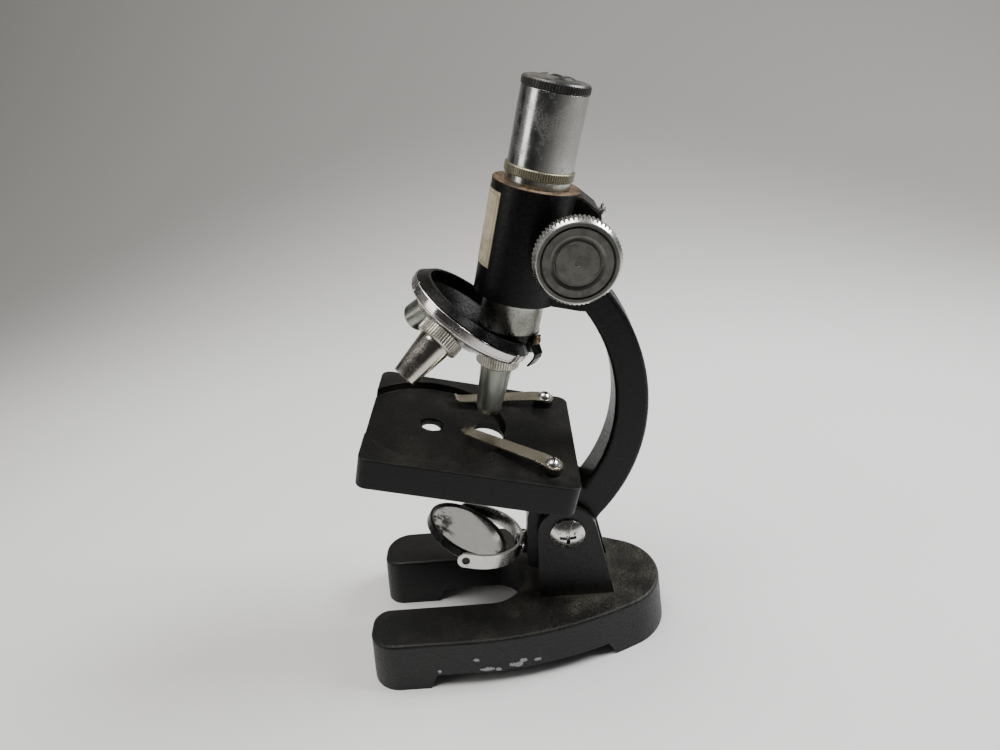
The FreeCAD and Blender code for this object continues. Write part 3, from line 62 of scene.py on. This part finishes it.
class Paint:
    """One procedural material, with short names for the nodes it is built of."""

    def __init__(self, name):
        self.material = bpy.data.materials.new(name)
        self.material.use_nodes = True
        self.tree = self.material.node_tree
        self.tree.nodes.clear()
        self.shader = self.node("ShaderNodeBsdfPrincipled")
        output = self.node("ShaderNodeOutputMaterial")
        self.tree.links.new(self.shader.outputs["BSDF"], output.inputs["Surface"])
        self.where = self.node("ShaderNodeTexCoord")
        self.place = self.where.outputs["Object"]

    def node(self, kind, inputs=None, **settings):
        made = self.tree.nodes.new(kind)
        for key, value in settings.items():
            setattr(made, key, value)
        for key, value in (inputs or {}).items():
            self.feed(made.inputs[key], value)
        return made

    def feed(self, socket, value):
        """Link a socket, or set it; a colour may come without its alpha."""
        if isinstance(value, bpy.types.NodeSocket):
            self.tree.links.new(value, socket)
            return
        if socket.type == "RGBA" and len(value) == 3:
            value = (*value, 1.0)
        socket.default_value = value

    def set(self, **inputs):
        """Shader inputs by name, with _ for a space."""
        for key, value in inputs.items():
            self.feed(self.shader.inputs[key.replace("_", " ")], value)

    def math(self, kind, first, second=0.0, clamp=False):
        made = self.node("ShaderNodeMath", operation=kind, use_clamp=clamp)
        self.feed(made.inputs[0], first)
        self.feed(made.inputs[1], second)
        return made.outputs[0]

    def times(self, first, second):
        return self.math("MULTIPLY", first, second, clamp=True)

    def most(self, first, second):
        return self.math("MAXIMUM", first, second)

    def vector(self, kind, first, second=(0, 0, 0)):
        made = self.node("ShaderNodeVectorMath", operation=kind)
        self.feed(made.inputs[0], first)
        self.feed(made.inputs[1], second)
        return made.outputs["Value" if kind in ("DOT_PRODUCT", "LENGTH") else "Vector"]

    def split(self, vector):
        return self.node("ShaderNodeSeparateXYZ", {"Vector": vector}).outputs

    def join(self, x, y, z):
        return self.node("ShaderNodeCombineXYZ", {"X": x, "Y": y, "Z": z}).outputs["Vector"]

    def noise(self, scale, detail=3.0, rough=0.5, place=None):
        inputs = {"Vector": place or self.place, "Scale": scale, "Detail": detail, "Roughness": rough}
        return self.node("ShaderNodeTexNoise", inputs).outputs["Fac"]

    def cells(self, scale, place):
        return self.node("ShaderNodeTexVoronoi", {"Vector": place, "Scale": scale}).outputs["Distance"]

    def ease(self, value, low, high, first=0.0, last=1.0):
        """Smooth step from first at low to last at high."""
        inputs = {"Value": value, "From Min": low, "From Max": high, "To Min": first, "To Max": last}
        if low > high:
            inputs.update({"From Min": high, "From Max": low, "To Min": last, "To Max": first})
        made = self.node("ShaderNodeMapRange", inputs, interpolation_type="SMOOTHSTEP")
        return made.outputs["Result"]

    def between(self, kind, factor, first, second):
        """A value of this kind that goes from first to second as factor goes from 0 to 1."""
        made = self.node("ShaderNodeMix", data_type=kind)
        *inputs, result = MIX_SOCKETS[kind]
        for index, value in zip(inputs, (factor, first, second)):
            self.feed(made.inputs[index], value)
        return made.outputs[result]

    def mix(self, factor, first, second):
        """A colour between two colours."""
        return self.between("RGBA", factor, first, second)

    def blend(self, factor, first, second):
        """A number between two numbers."""
        return self.between("FLOAT", factor, first, second)

    def leaning(self, origin, lean):
        """Coordinates in a frame at origin that leans about X."""
        made = self.node("ShaderNodeMapping", {"Vector": self.place}, vector_type="TEXTURE")
        made.inputs["Location"].default_value = origin
        made.inputs["Rotation"].default_value = (lean, 0.0, 0.0)
        return made.outputs["Vector"]

    def scaled(self, place, x, y, z):
        return self.vector("MULTIPLY", place, (x, y, z))

    def radius(self, place, x=1.0, y=1.0, z=0.0):
        """Distance from an axis; the weights pick the axes that count."""
        return self.vector("LENGTH", self.scaled(place, x, y, z))

    def spot(self, centre, size, place=None):
        """1 at the centre, 0 at the surface of an ellipsoid, negative outside."""
        offset = self.vector("SUBTRACT", place or self.place, tuple(centre))
        share = tuple(1.0 / (length * MM) for length in size)
        away = self.vector("LENGTH", self.vector("MULTIPLY", offset, share))
        return self.math("SUBTRACT", 1.0, away)

    def facing(self):
        """The surface's direction in the piece's own frame."""
        return self.split(self.where.outputs["Normal"])

    def edges(self, radius, low=0.015, high=0.16):
        """1 along sharp edges, from the rounded normal."""
        rounded = self.node("ShaderNodeBevel", {"Radius": radius}, samples=6).outputs["Normal"]
        straight = self.node("ShaderNodeNewGeometry").outputs["Normal"]
        bend = self.math("SUBTRACT", 1.0, self.vector("DOT_PRODUCT", rounded, straight))
        return self.ease(bend, low, high)

    def corners(self, distance):
        """1 in inner corners and under ledges."""
        made = self.node("ShaderNodeAmbientOcclusion", {"Distance": distance}, samples=6,
                         only_local=True)
        return self.ease(made.outputs["AO"], 0.92, 0.45)

    def relief(self, *layers, soften=0.12 * MM):
        """Bumps on softened edges; a layer is (height, depth in metres)."""
        normal = self.node("ShaderNodeBevel", {"Radius": soften}, samples=4).outputs["Normal"]
        for height, depth in layers:
            bump = self.node("ShaderNodeBump", {"Strength": 1.0, "Distance": depth,
                                                "Height": height, "Normal": normal})
            normal = bump.outputs["Normal"]
        self.set(Normal=normal)


# ---------------------------------------------------------------- finishes

BLACK = (0.0028, 0.0028, 0.0030)
DUST = (0.088, 0.080, 0.058)
RUBBED = (0.085, 0.080, 0.066)
BARE_DARK = (0.20, 0.20, 0.21)
BARE_LIGHT = (0.36, 0.36, 0.37)
NEAR_BLACK = (0.05, 0.045, 0.035)


def broken_away(paint, chips):
    """1 where enamel has come off, with a ragged outline round each chip."""
    ragged = paint.math("MULTIPLY", paint.math("SUBTRACT", paint.noise(420.0, 5.0, 0.65), 0.5), 1.9)
    shape = None
    for centre, size in chips:
        one = paint.spot(centre, size)
        shape = one if shape is None else paint.most(shape, one)
    return paint.ease(paint.math("ADD", shape, ragged), 0.30, 0.36)


def enamel(name, gloss=0.36, dust=0.6, wear=0.5, grain=1.0, shine=0.20, chips=None, extra=None,
           settled=None):
    """Black stoving enamel on a casting, dusty on top, rubbed along its edges.

    chips are bare places, extra repaints a region, and settled thins the dust out by place.
    """
    paint = Paint(name)
    fine = paint.noise(2600.0, 2.0)
    pits = paint.noise(900.0, 4.0, 0.6)
    broad = paint.noise(55.0, 4.0, 0.6)
    specks = paint.noise(1500.0, 3.0, 0.7)
    up = paint.facing()["Z"]
    lying = paint.times(paint.ease(up, 0.25, 0.95), paint.ease(broad, 0.38, 0.72, 0.12, 1.0))
    lying = paint.times(lying, paint.ease(specks, 0.36, 0.62, 0.12, 1.0))
    crevice = paint.times(paint.corners(5 * MM), paint.ease(broad, 0.35, 0.62, 0.15, 0.8))
    if settled is not None:
        lying = paint.times(lying, settled(paint))
    dirt = paint.times(paint.most(lying, crevice), dust)
    rubbed = paint.times(paint.edges(0.7 * MM), paint.ease(paint.noise(160.0, 5.0, 0.7), 0.46, 0.70))
    rubbed = paint.times(rubbed, wear)
    colour = paint.mix(dirt, BLACK, DUST)
    colour = paint.mix(rubbed, colour, RUBBED)
    rough = paint.blend(paint.ease(pits, 0.3, 0.7), gloss - 0.06, gloss + 0.10)
    rough = paint.blend(dirt, rough, 0.92)
    height = paint.blend(paint.ease(pits, 0.35, 0.7), 0.0, 1.0)
    metal = 0.0
    if extra is not None:
        colour, rough = extra(paint, colour, rough)
    if chips is not None:
        bare = broken_away(paint, chips)
        colour = paint.mix(bare, colour, paint.mix(specks, BARE_DARK, BARE_LIGHT))
        rough = paint.blend(bare, rough, 0.55)
        height = paint.math("SUBTRACT", height, paint.math("MULTIPLY", bare, 3.0))
        metal = paint.times(bare, 0.7)
    paint.set(Base_Color=colour, Roughness=rough, Metallic=metal, Specular_IOR_Level=shine)
    paint.relief((fine, 0.012 * MM * grain), (height, 0.035 * MM * grain), soften=0.35 * MM)
    return paint.material


HOUSING_TOP = 86.5 * MM
HOUSING_EDGE = 13.0 * MM


def rust_on_housing(paint, colour, rough):
    """Brown rust and dust on the top face of the tube housing."""
    place = paint.leaning(ARM_ORIGIN, ARM_LEAN)
    high = paint.ease(paint.split(place)["Z"], HOUSING_TOP - 0.3 * MM, HOUSING_TOP)
    inside = paint.ease(paint.radius(place), HOUSING_EDGE + 0.7 * MM, HOUSING_EDGE)
    top = paint.times(high, inside)
    broken = paint.ease(paint.noise(520.0, 4.0, 0.7), 0.36, 0.58, 0.25, 1.0)
    rust = paint.times(top, broken)
    tone = paint.mix(paint.noise(700.0, 3.0), (0.10, 0.062, 0.036), (0.30, 0.21, 0.135))
    return paint.mix(rust, colour, tone), paint.blend(rust, rough, 0.9)


THIN_DUST_UNTIL = -26 * MM
THICK_DUST_FROM = 16 * MM


def behind_the_ears(paint):
    """Dust lies thickest on the rear of the foot and thins out along the prongs."""
    back = paint.split(paint.place)["Y"]
    return paint.ease(back, THIN_DUST_UNTIL, THICK_DUST_FROM, 0.22, 1.0)


def scratches_on_stage(paint, colour, rough):
    """Thin rubbed lines on the stage's top."""
    place = paint.leaning(ARM_ORIGIN, ARM_LEAN)
    drawn = paint.scaled(place, 260.0, 9.0, 1.0)
    line = paint.ease(paint.noise(1.0, 3.0, 0.6, place=drawn), 0.66, 0.74)
    level = paint.ease(paint.split(place)["Z"], -0.4 * MM, -0.1 * MM)
    line = paint.times(paint.times(line, level), 0.35)
    return paint.mix(line, colour, (0.06, 0.058, 0.055)), paint.blend(line, rough, 0.3)


def plating(name, tint, gloss, tarnish, stain=(0.16, 0.13, 0.08), patches=(), frame_of=None,
            streak=0.0):
    """Nickel or chrome plating with specks, stains and dulled patches.

    patches are (centre, size, strength) in the frame frame_of; streak adds fine lines along Z.
    """
    paint = Paint(name)
    place = paint.leaning(*frame_of) if frame_of else paint.place
    cloud = paint.noise(120.0, 5.0, 0.65, place=place)
    speck = paint.noise(1900.0, 3.0, 0.7, place=place)
    pit = paint.ease(paint.cells(1100.0, place=place), 0.22, 0.06)
    spread = paint.ease(cloud, 0.42, 0.72)
    dull = paint.times(paint.ease(speck, 0.42, 0.62), spread)
    for centre, size, strength in patches:
        near = paint.ease(paint.spot(centre, size, place=place), 0.0, 0.6)
        near = paint.times(near, paint.ease(speck, 0.36, 0.56, 0.35, 1.0))
        dull = paint.most(dull, paint.math("MULTIPLY", near, strength))
    corner = paint.times(paint.corners(1.6 * MM), 0.8)
    dirt = paint.times(paint.most(dull, corner), tarnish)
    pit = paint.times(pit, paint.times(spread, tarnish))
    colour = paint.mix(dirt, tint, stain)
    colour = paint.mix(pit, colour, NEAR_BLACK)
    rough = paint.blend(paint.ease(cloud, 0.3, 0.7), gloss - 0.05, gloss + 0.08)
    rough = paint.blend(dirt, rough, 0.62)
    layers = [(speck, 0.006 * MM)]
    if streak:
        stretched = paint.scaled(place, 2200.0, 2200.0, 45.0)
        lines = paint.noise(1.0, 3.0, 0.6, place=stretched)
        uneven = paint.math("MULTIPLY", paint.math("SUBTRACT", lines, 0.5), streak)
        rough = paint.math("ADD", rough, uneven)
        layers.append((lines, 0.004 * MM))
    paint.set(Base_Color=colour, Roughness=rough, Metallic=paint.blend(dirt, 1.0, 0.55))
    paint.relief(*layers)
    return paint.material


KNOB_FACE = 11.4 * MM
KNOB_TEETH = 11.9 * MM


def knob_finish():
    """Bright teeth round a satin face with turned rings, darkened in its grooves with painted shade."""
    paint = Paint("knob")
    place = paint.vector("SUBTRACT", paint.place, tuple(PINION))
    radius = paint.radius(place, 0.0, 1.0, 1.0)
    bright = paint.ease(radius, KNOB_FACE, KNOB_TEETH)
    cloud = paint.noise(230.0, 5.0, 0.65)
    speck = paint.noise(1700.0, 3.0, 0.7)
    # Painted shade: the grooves' inner corners are darkened to near black.
    groove_shade = paint.times(paint.corners(1.4 * MM), 0.95)
    stain = paint.times(paint.ease(cloud, 0.52, 0.68), paint.ease(speck, 0.4, 0.6, 0.3, 1.0))
    satin = paint.mix(paint.ease(cloud, 0.35, 0.65), (0.105, 0.105, 0.095), (0.165, 0.165, 0.150))
    colour = paint.mix(bright, satin, (0.60, 0.59, 0.56))
    colour = paint.mix(paint.times(stain, 0.35), colour, (0.12, 0.105, 0.08))
    colour = paint.mix(groove_shade, colour, (0.045, 0.042, 0.036))
    rough = paint.blend(bright, paint.blend(speck, 0.36, 0.52), 0.24)
    rough = paint.blend(groove_shade, rough, 0.8)
    turned = paint.noise(1.0, 2.0, place=paint.join(paint.math("MULTIPLY", radius, 5200.0), 0.0, 0.0))
    paint.set(Base_Color=colour, Roughness=rough, Metallic=paint.blend(groove_shade, 1.0, 0.4))
    paint.relief((turned, 0.006 * MM), (speck, 0.006 * MM))
    return paint.material


def knurl_finish(name, tint, grime, gloss):
    """Bright ridges with grime between them."""
    paint = Paint(name)
    cloud = paint.noise(300.0, 4.0, 0.6)
    speck = paint.noise(2000.0, 2.0)
    between = paint.most(paint.corners(0.7 * MM), paint.times(paint.ease(cloud, 0.45, 0.7), 0.55))
    colour = paint.mix(between, tint, grime)
    rough = paint.blend(between, gloss, 0.75)
    paint.set(Base_Color=colour, Roughness=rough, Metallic=paint.blend(between, 1.0, 0.45))
    paint.relief((speck, 0.008 * MM), soften=0.05 * MM)
    return paint.material


def plastic_finish():
    """Black moulded plastic, greyed where dust sits in the knurling."""
    paint = Paint("black_plastic")
    speck = paint.noise(1300.0, 4.0, 0.7)
    cloud = paint.noise(200.0, 3.0)
    up = paint.ease(paint.facing()["Z"], 0.4, 0.95)
    dust = paint.most(paint.corners(0.8 * MM), paint.times(up, paint.ease(cloud, 0.3, 0.65)))
    dust = paint.times(dust, paint.ease(speck, 0.38, 0.62, 0.15, 0.9))
    paint.set(Base_Color=paint.mix(dust, (0.012, 0.0115, 0.011), (0.13, 0.12, 0.10)),
              Roughness=paint.blend(dust, paint.blend(cloud, 0.26, 0.4), 0.85))
    paint.relief((speck, 0.015 * MM), soften=0.15 * MM)
    return paint.material


# The label's outline, and its ruled border: height along the tube, and the turn round it in radians.
LABEL_MIDDLE = 72.1 * MM
RULE_HEIGHT = 10.6 * MM
RULE_TURN = 0.615
PAPER_HEIGHT = 11.6 * MM
PAPER_TURN = 0.69


def paper_finish():
    """Old cream paper under varnish: stains, fibres, a thin ruled border, worn rims."""
    paint = Paint("aged_paper")
    place = paint.leaning(ARM_ORIGIN, ARM_LEAN)
    parts = paint.split(place)
    height = parts["Z"]
    turn = paint.math("ARCTAN2", parts["X"], paint.math("MULTIPLY", parts["Y"], -1.0))
    fibre = paint.noise(1.0, 3.0, 0.6, place=paint.scaled(place, 900.0, 900.0, 240.0))
    blotch = paint.noise(170.0, 4.0, 0.65)
    foxing = paint.ease(paint.noise(520.0, 3.0, 0.6), 0.60, 0.72)
    colour = paint.mix(paint.ease(blotch, 0.35, 0.68), (0.52, 0.46, 0.335), (0.33, 0.275, 0.17))
    colour = paint.mix(paint.times(foxing, 0.5), colour, (0.17, 0.12, 0.065))
    side = paint.math("ABSOLUTE", turn)
    middle = paint.math("ABSOLUTE", paint.math("SUBTRACT", height, LABEL_MIDDLE))
    across = paint.math("ABSOLUTE", paint.math("SUBTRACT", side, RULE_TURN))
    along = paint.math("ABSOLUTE", paint.math("SUBTRACT", middle, RULE_HEIGHT))
    upright = paint.times(paint.ease(across, 0.012, 0.006),
                          paint.ease(middle, RULE_HEIGHT + 0.15 * MM, RULE_HEIGHT + 0.05 * MM))
    level = paint.times(paint.ease(along, 0.16 * MM, 0.09 * MM),
                        paint.ease(side, RULE_TURN + 0.008, RULE_TURN + 0.002))
    ruled = paint.times(paint.most(upright, level), paint.ease(blotch, 0.7, 0.45, 0.2, 0.75))
    colour = paint.mix(ruled, colour, (0.055, 0.047, 0.035))
    rim = paint.most(paint.ease(side, PAPER_TURN - 0.035, PAPER_TURN),
                     paint.ease(middle, PAPER_HEIGHT - 0.4 * MM, PAPER_HEIGHT))
    colour = paint.mix(paint.times(rim, 0.6), colour, (0.13, 0.10, 0.06))
    paint.set(Base_Color=colour, Roughness=paint.blend(blotch, 0.42, 0.62), Coat_Weight=0.15,
              Coat_Roughness=0.35)
    paint.relief((fibre, 0.012 * MM), (blotch, 0.05 * MM), soften=0.02 * MM)
    return paint.material


def mirror_finish():
    """Silvered glass, dirty along one side and at its rim."""
    paint = Paint("mirror")
    low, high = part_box("mirror_glass")
    cloud = paint.noise(260.0, 5.0, 0.7)
    speck = paint.noise(1100.0, 4.0, 0.7)
    left = paint.spot((4 * MM, low.y + 2 * MM, high.z - 4 * MM), (17.0, 8.0, 9.0))
    corner = paint.spot((high.x - 2 * MM, high.y - 3 * MM, low.z + 2 * MM), (9.0, 6.0, 5.0))
    dirty = paint.times(paint.ease(paint.most(left, corner), 0.0, 0.5), paint.ease(cloud, 0.46, 0.60))
    dust = paint.times(paint.ease(cloud, 0.25, 0.7), 0.5)
    colour = paint.mix(dust, (0.86, 0.86, 0.84), (0.74, 0.73, 0.69))
    colour = paint.mix(dirty, colour, (0.11, 0.095, 0.07))
    rough = paint.blend(paint.ease(speck, 0.3, 0.7), 0.10, 0.26)
    rough = paint.blend(dirty, rough, 0.85)
    paint.set(Base_Color=colour, Roughness=rough, Metallic=paint.blend(dirty, 1.0, 0.1))
    return paint.material


def glass_finish():
    """Lens glass with a faint film."""
    paint = Paint("clear_glass")
    film = paint.noise(600.0, 4.0, 0.7)
    paint.set(Base_Color=(0.93, 0.96, 0.96), Roughness=paint.ease(film, 0.4, 0.75, 0.02, 0.16),
              Transmission_Weight=1.0, IOR=1.52)
    return paint.material


def screw_finish(name, tint, rust):
    """Plated screw head: bright crown, painted shade darkening its hollows, rust where it has started."""
    paint = Paint(name)
    cloud = paint.noise(900.0, 4.0, 0.65)
    recess_shade = paint.corners(1.2 * MM)
    spots = paint.ease(cloud, 0.62 - rust * 0.3, 0.72 - rust * 0.22)
    colour = paint.mix(spots, tint, (0.16, 0.085, 0.04))
    # Painted shade: the screw's hollows are darkened to near black.
    colour = paint.mix(recess_shade, colour, (0.02, 0.018, 0.016))
    rough = paint.blend(spots, paint.blend(cloud, 0.16, 0.30), 0.8)
    paint.set(Base_Color=colour, Roughness=paint.blend(recess_shade, rough, 0.8),
              Metallic=paint.blend(paint.most(recess_shade, spots), 1.0, 0.2))
    paint.relief((cloud, 0.01 * MM))
    return paint.material


# Bare places on the near side wall of the foot, in millimetres: where each is from the pivot (out to
# the side, back, up), its half length and its half height. They all reach equally far into the wall.
CHIP_REACH = 3.0
CHIP_MARKS = [
    ((32.6, -37.0, -36.7), 2.1, 1.7),
    ((33.0, -33.6, -41.5), 4.0, 1.1),
    ((32.8, -29.2, -42.0), 1.3, 1.0),
    ((32.3, -22.0, -40.8), 4.2, 1.5),
    ((32.2, -19.8, -39.3), 2.0, 1.6),
    ((31.9, -14.2, -40.1), 4.0, 1.3),
    ((33.1, -50.7, -40.9), 1.2, 1.0),
]
CHIPS = [(PIVOT + Vector(place) * MM, (CHIP_REACH, along, high)) for place, along, high in CHIP_MARKS]
ON_THE_ARM = (ARM_ORIGIN, ARM_LEAN)
ON_THE_TURRET = (TURRET_ORIGIN, TURRET_LEAN)
OLIVE_STAIN = (0.08, 0.08, 0.06)
YELLOW_STAIN = (0.30, 0.24, 0.13)
DULL_ON_EYEPIECE = ((6 * MM, 8 * MM, 103 * MM), (11, 9, 13), 0.8)
DULL_ON_TUBE = ((7 * MM, 6 * MM, 44 * MM), (10, 8, 8), 0.9)

FINISHES = {
    "base_casting": enamel("foot_enamel", 0.42, dust=0.85, wear=0.8, grain=1.6, shine=0.3, chips=CHIPS,
                           settled=behind_the_ears),
    "arm_casting": enamel("arm_enamel", 0.33, dust=0.3, wear=0.6, extra=rust_on_housing),
    "stage_plate": enamel("stage_enamel", 0.40, dust=0.22, wear=0.75, extra=scratches_on_stage),
    "nosepiece_dish": enamel("dish_enamel", 0.26, dust=0.25, wear=0.35, grain=0.5, shine=0.16),
    "mirror_cell": enamel("cell_enamel", 0.24, dust=0.2, wear=0.9, grain=0.4),
    "click_spring": enamel("leaf_black", 0.3, dust=0.3, wear=0.5, grain=0.4),
    "eyepiece_cap": plastic_finish(),
    "label": paper_finish(),
    "mirror_glass": mirror_finish(),
    "focus_knob": knob_finish(),
    "turret_dome": plating("dome_plating", (0.54, 0.51, 0.50), 0.14, 0.5, frame_of=ON_THE_TURRET),
    "objective_medium_barrel": plating("medium_plating", (0.50, 0.47, 0.42), 0.15, 0.45),
    "objective_high_barrel": plating("high_plating", (0.26, 0.27, 0.24), 0.36, 0.8, OLIVE_STAIN),
    "objective_low_barrel": plating("low_plating", (0.32, 0.33, 0.29), 0.28, 0.7, (0.08, 0.09, 0.06)),
    "eyepiece_ring": knurl_finish("tarnished_knurl", (0.30, 0.28, 0.20), (0.075, 0.072, 0.045), 0.42),
    "click_screw": screw_finish("rusty_screw", (0.35, 0.27, 0.20), 0.8),
    "clip_near": plating("near_clip_plating", (0.44, 0.40, 0.31), 0.28, 0.45, YELLOW_STAIN),
    "clip_far": plating("far_clip_plating", (0.40, 0.37, 0.29), 0.30, 0.5, YELLOW_STAIN),
    "mirror_strap": plating("strap_plating", (0.52, 0.51, 0.49), 0.22, 0.35),
    # The mirror pins are painted near black as painted shade, standing for the dark hole at the strap's end.
    "mirror_pins": plating("pins_painted_shade", (0.035, 0.033, 0.030), 0.45, 0.5, (0.02, 0.016, 0.012)),
    "eyepiece_barrel": plating("eyepiece_plating", (0.42, 0.42, 0.41), 0.18, 0.6, (0.19, 0.185, 0.15),
                               (DULL_ON_EYEPIECE,), ON_THE_ARM, streak=0.16),
    "focus_tube": plating("tube_plating", (0.36, 0.36, 0.33), 0.22, 0.75, (0.15, 0.145, 0.11),
                          (DULL_ON_TUBE,), ON_THE_ARM, streak=0.12),
}
KNURL = knurl_finish("collar_knurl", (0.54, 0.52, 0.45), (0.085, 0.07, 0.045), 0.30)
for power in ("high", "medium", "low"):
    FINISHES["objective_%s_collar" % power] = KNURL

BY_SLOT = {
    "nickel_screw": screw_finish("screw_plating", (0.60, 0.59, 0.57), 0.15),
    "steel_shaft": plating("steel", (0.42, 0.42, 0.42), 0.32, 0.5, (0.14, 0.11, 0.08)),
    "brass_shoe": plating("brass", (0.58, 0.43, 0.19), 0.34, 0.5, (0.20, 0.13, 0.06)),
    "black_leaf": enamel("blackened_metal", 0.5, dust=0.2, wear=0.3, grain=0.6),
    "clear_glass": glass_finish(),
}
slot_of = {part["node"]: part["material_slot"] for part in frame["record"]["subparts"]}

for name, piece in nodes.items():
    finish = FINISHES.get(name) or BY_SLOT[slot_of[name]]
    if not piece.material_slots:
        piece.data.materials.append(finish)
    for slot in piece.material_slots:
        slot.material = finish


# ---------------------------------------------------------------- floor, light and camera

FLOOR_REACH = 2.6
SWEEP_START = -0.30
SWEEP_RADIUS = 0.55
SWEEP_STEPS = 12
SWEEP_STEP = math.radians(7.0)
WALL_TOP = (-0.95, 2.2)


def floor_profile():
    """Points (x, z) from the front of the floor, round the sweep and up the wall."""
    points = [(FLOOR_REACH, 0.0), (SWEEP_START, 0.0)]
    for step in range(1, SWEEP_STEPS + 1):
        angle = step * SWEEP_STEP
        x = SWEEP_START - SWEEP_RADIUS * math.sin(angle)
        points.append((x, SWEEP_RADIUS * (1 - math.cos(angle))))
    return points + [WALL_TOP]


def backdrop():
    """A pale floor that sweeps up into a wall far behind."""
    mesh = bpy.data.meshes.new("floor")
    build = bmesh.new()
    rows = []
    for x, z in floor_profile():
        rows.append([build.verts.new((x, side, z)) for side in (-FLOOR_REACH, FLOOR_REACH)])
    for first, second in zip(rows, rows[1:]):
        build.faces.new((first[0], first[1], second[1], second[0]))
    for face in build.faces:
        face.smooth = True
    build.to_mesh(mesh)
    build.free()
    piece = bpy.data.objects.new("floor", mesh)
    bpy.context.scene.collection.objects.link(piece)
    mesh.materials.append(floor_finish())


# Painted pool of light on the floor: full brightness out to this radius, faded to grey by the next.
LIGHT_POOL_UNTIL = 0.20
LIGHT_POOL_FADED_BY = 0.66


def floor_finish():
    """Matt pale ground with a painted pool of light: brightest round the microscope and falling off to grey."""
    paint = Paint("pale_floor")
    cloud = paint.noise(3.0, 3.0, 0.5)
    weave = paint.noise(900.0, 2.0)
    near = paint.mix(cloud, (0.74, 0.735, 0.725), (0.80, 0.795, 0.785))
    # Painted light: the floor's colour darkens with distance from the microscope.
    away = paint.ease(paint.radius(paint.place), LIGHT_POOL_UNTIL, LIGHT_POOL_FADED_BY)
    paint.set(Base_Color=paint.mix(away, near, (0.26, 0.252, 0.24)), Roughness=0.85)
    paint.relief((weave, 0.05 * MM), soften=0.01 * MM)
    return paint.material


# Name, place, size, watts and tint of each lamp; they all point at LIT_POINT.
LIT_POINT = Vector((0.0, 0.0, 0.06))
LAMPS = [
    ("window", (-0.10, 0.75, 0.72), (0.45, 0.40), 13.0, (0.97, 0.985, 1.0)),
    ("overhead", (0.02, -0.15, 0.95), (0.60, 0.50), 9.0, (1.0, 0.985, 0.96)),
    ("left_fill", (0.25, -0.80, 0.40), (0.30, 0.45), 1.6, (1.0, 0.98, 0.95)),
]


def soft_light(name, place, size, power, tint):
    data = bpy.data.lights.new(name, "AREA")
    data.shape = "RECTANGLE"
    data.size, data.size_y = size
    data.energy = power
    data.color = tint
    lamp = bpy.data.objects.new(name, data)
    lamp.location = place
    lamp.rotation_mode = "QUATERNION"
    lamp.rotation_quaternion = (LIT_POINT - Vector(place)).to_track_quat("-Z", "Y")
    bpy.context.scene.collection.objects.link(lamp)


def room_light():
    """A dim room, lighter behind the microscope than in front of it."""
    world = bpy.data.worlds.new("room")
    world.use_nodes = True
    tree = world.node_tree
    back = tree.nodes["Background"]
    view = tree.nodes.new("ShaderNodeTexCoord")
    parts = tree.nodes.new("ShaderNodeSeparateXYZ")
    fade = tree.nodes.new("ShaderNodeMapRange")
    for key, value in {"From Min": -0.6, "From Max": 0.7, "To Min": 0.34, "To Max": 0.05}.items():
        fade.inputs[key].default_value = value
    tree.links.new(view.outputs["Generated"], parts.inputs["Vector"])
    tree.links.new(parts.outputs["X"], fade.inputs["Value"])
    tree.links.new(fade.outputs["Result"], back.inputs["Strength"])
    back.inputs["Color"].default_value = (0.93, 0.94, 0.96, 1.0)
    bpy.context.scene.world = world


CAMERA_PLACE = (0.22065, 0.00972, 0.22361)
CAMERA_RIGHT = Vector((0.00616, 0.99601, -0.08905))
CAMERA_AHEAD = Vector((-0.88931, -0.03527, -0.45594)).normalized()
LENS_MM = 26.27
SENSOR_MM = 36.0
NEAREST = 0.01


def camera():
    """A camera on the knob's side, a little higher than the eyepiece, looking down."""
    data = bpy.data.cameras.new("camera")
    data.lens = LENS_MM
    data.sensor_width = SENSOR_MM
    data.clip_start = NEAREST
    piece = bpy.data.objects.new("camera", data)
    right = (CAMERA_RIGHT - CAMERA_AHEAD * CAMERA_RIGHT.dot(CAMERA_AHEAD)).normalized()
    up = right.cross(CAMERA_AHEAD)
    turned = Matrix((right, up, -CAMERA_AHEAD)).transposed().to_4x4()
    piece.matrix_world = Matrix.Translation(CAMERA_PLACE) @ turned
    bpy.context.scene.collection.objects.link(piece)
    bpy.context.scene.camera = piece


backdrop()
for lamp in LAMPS:
    soft_light(*lamp)
room_light()
camera()
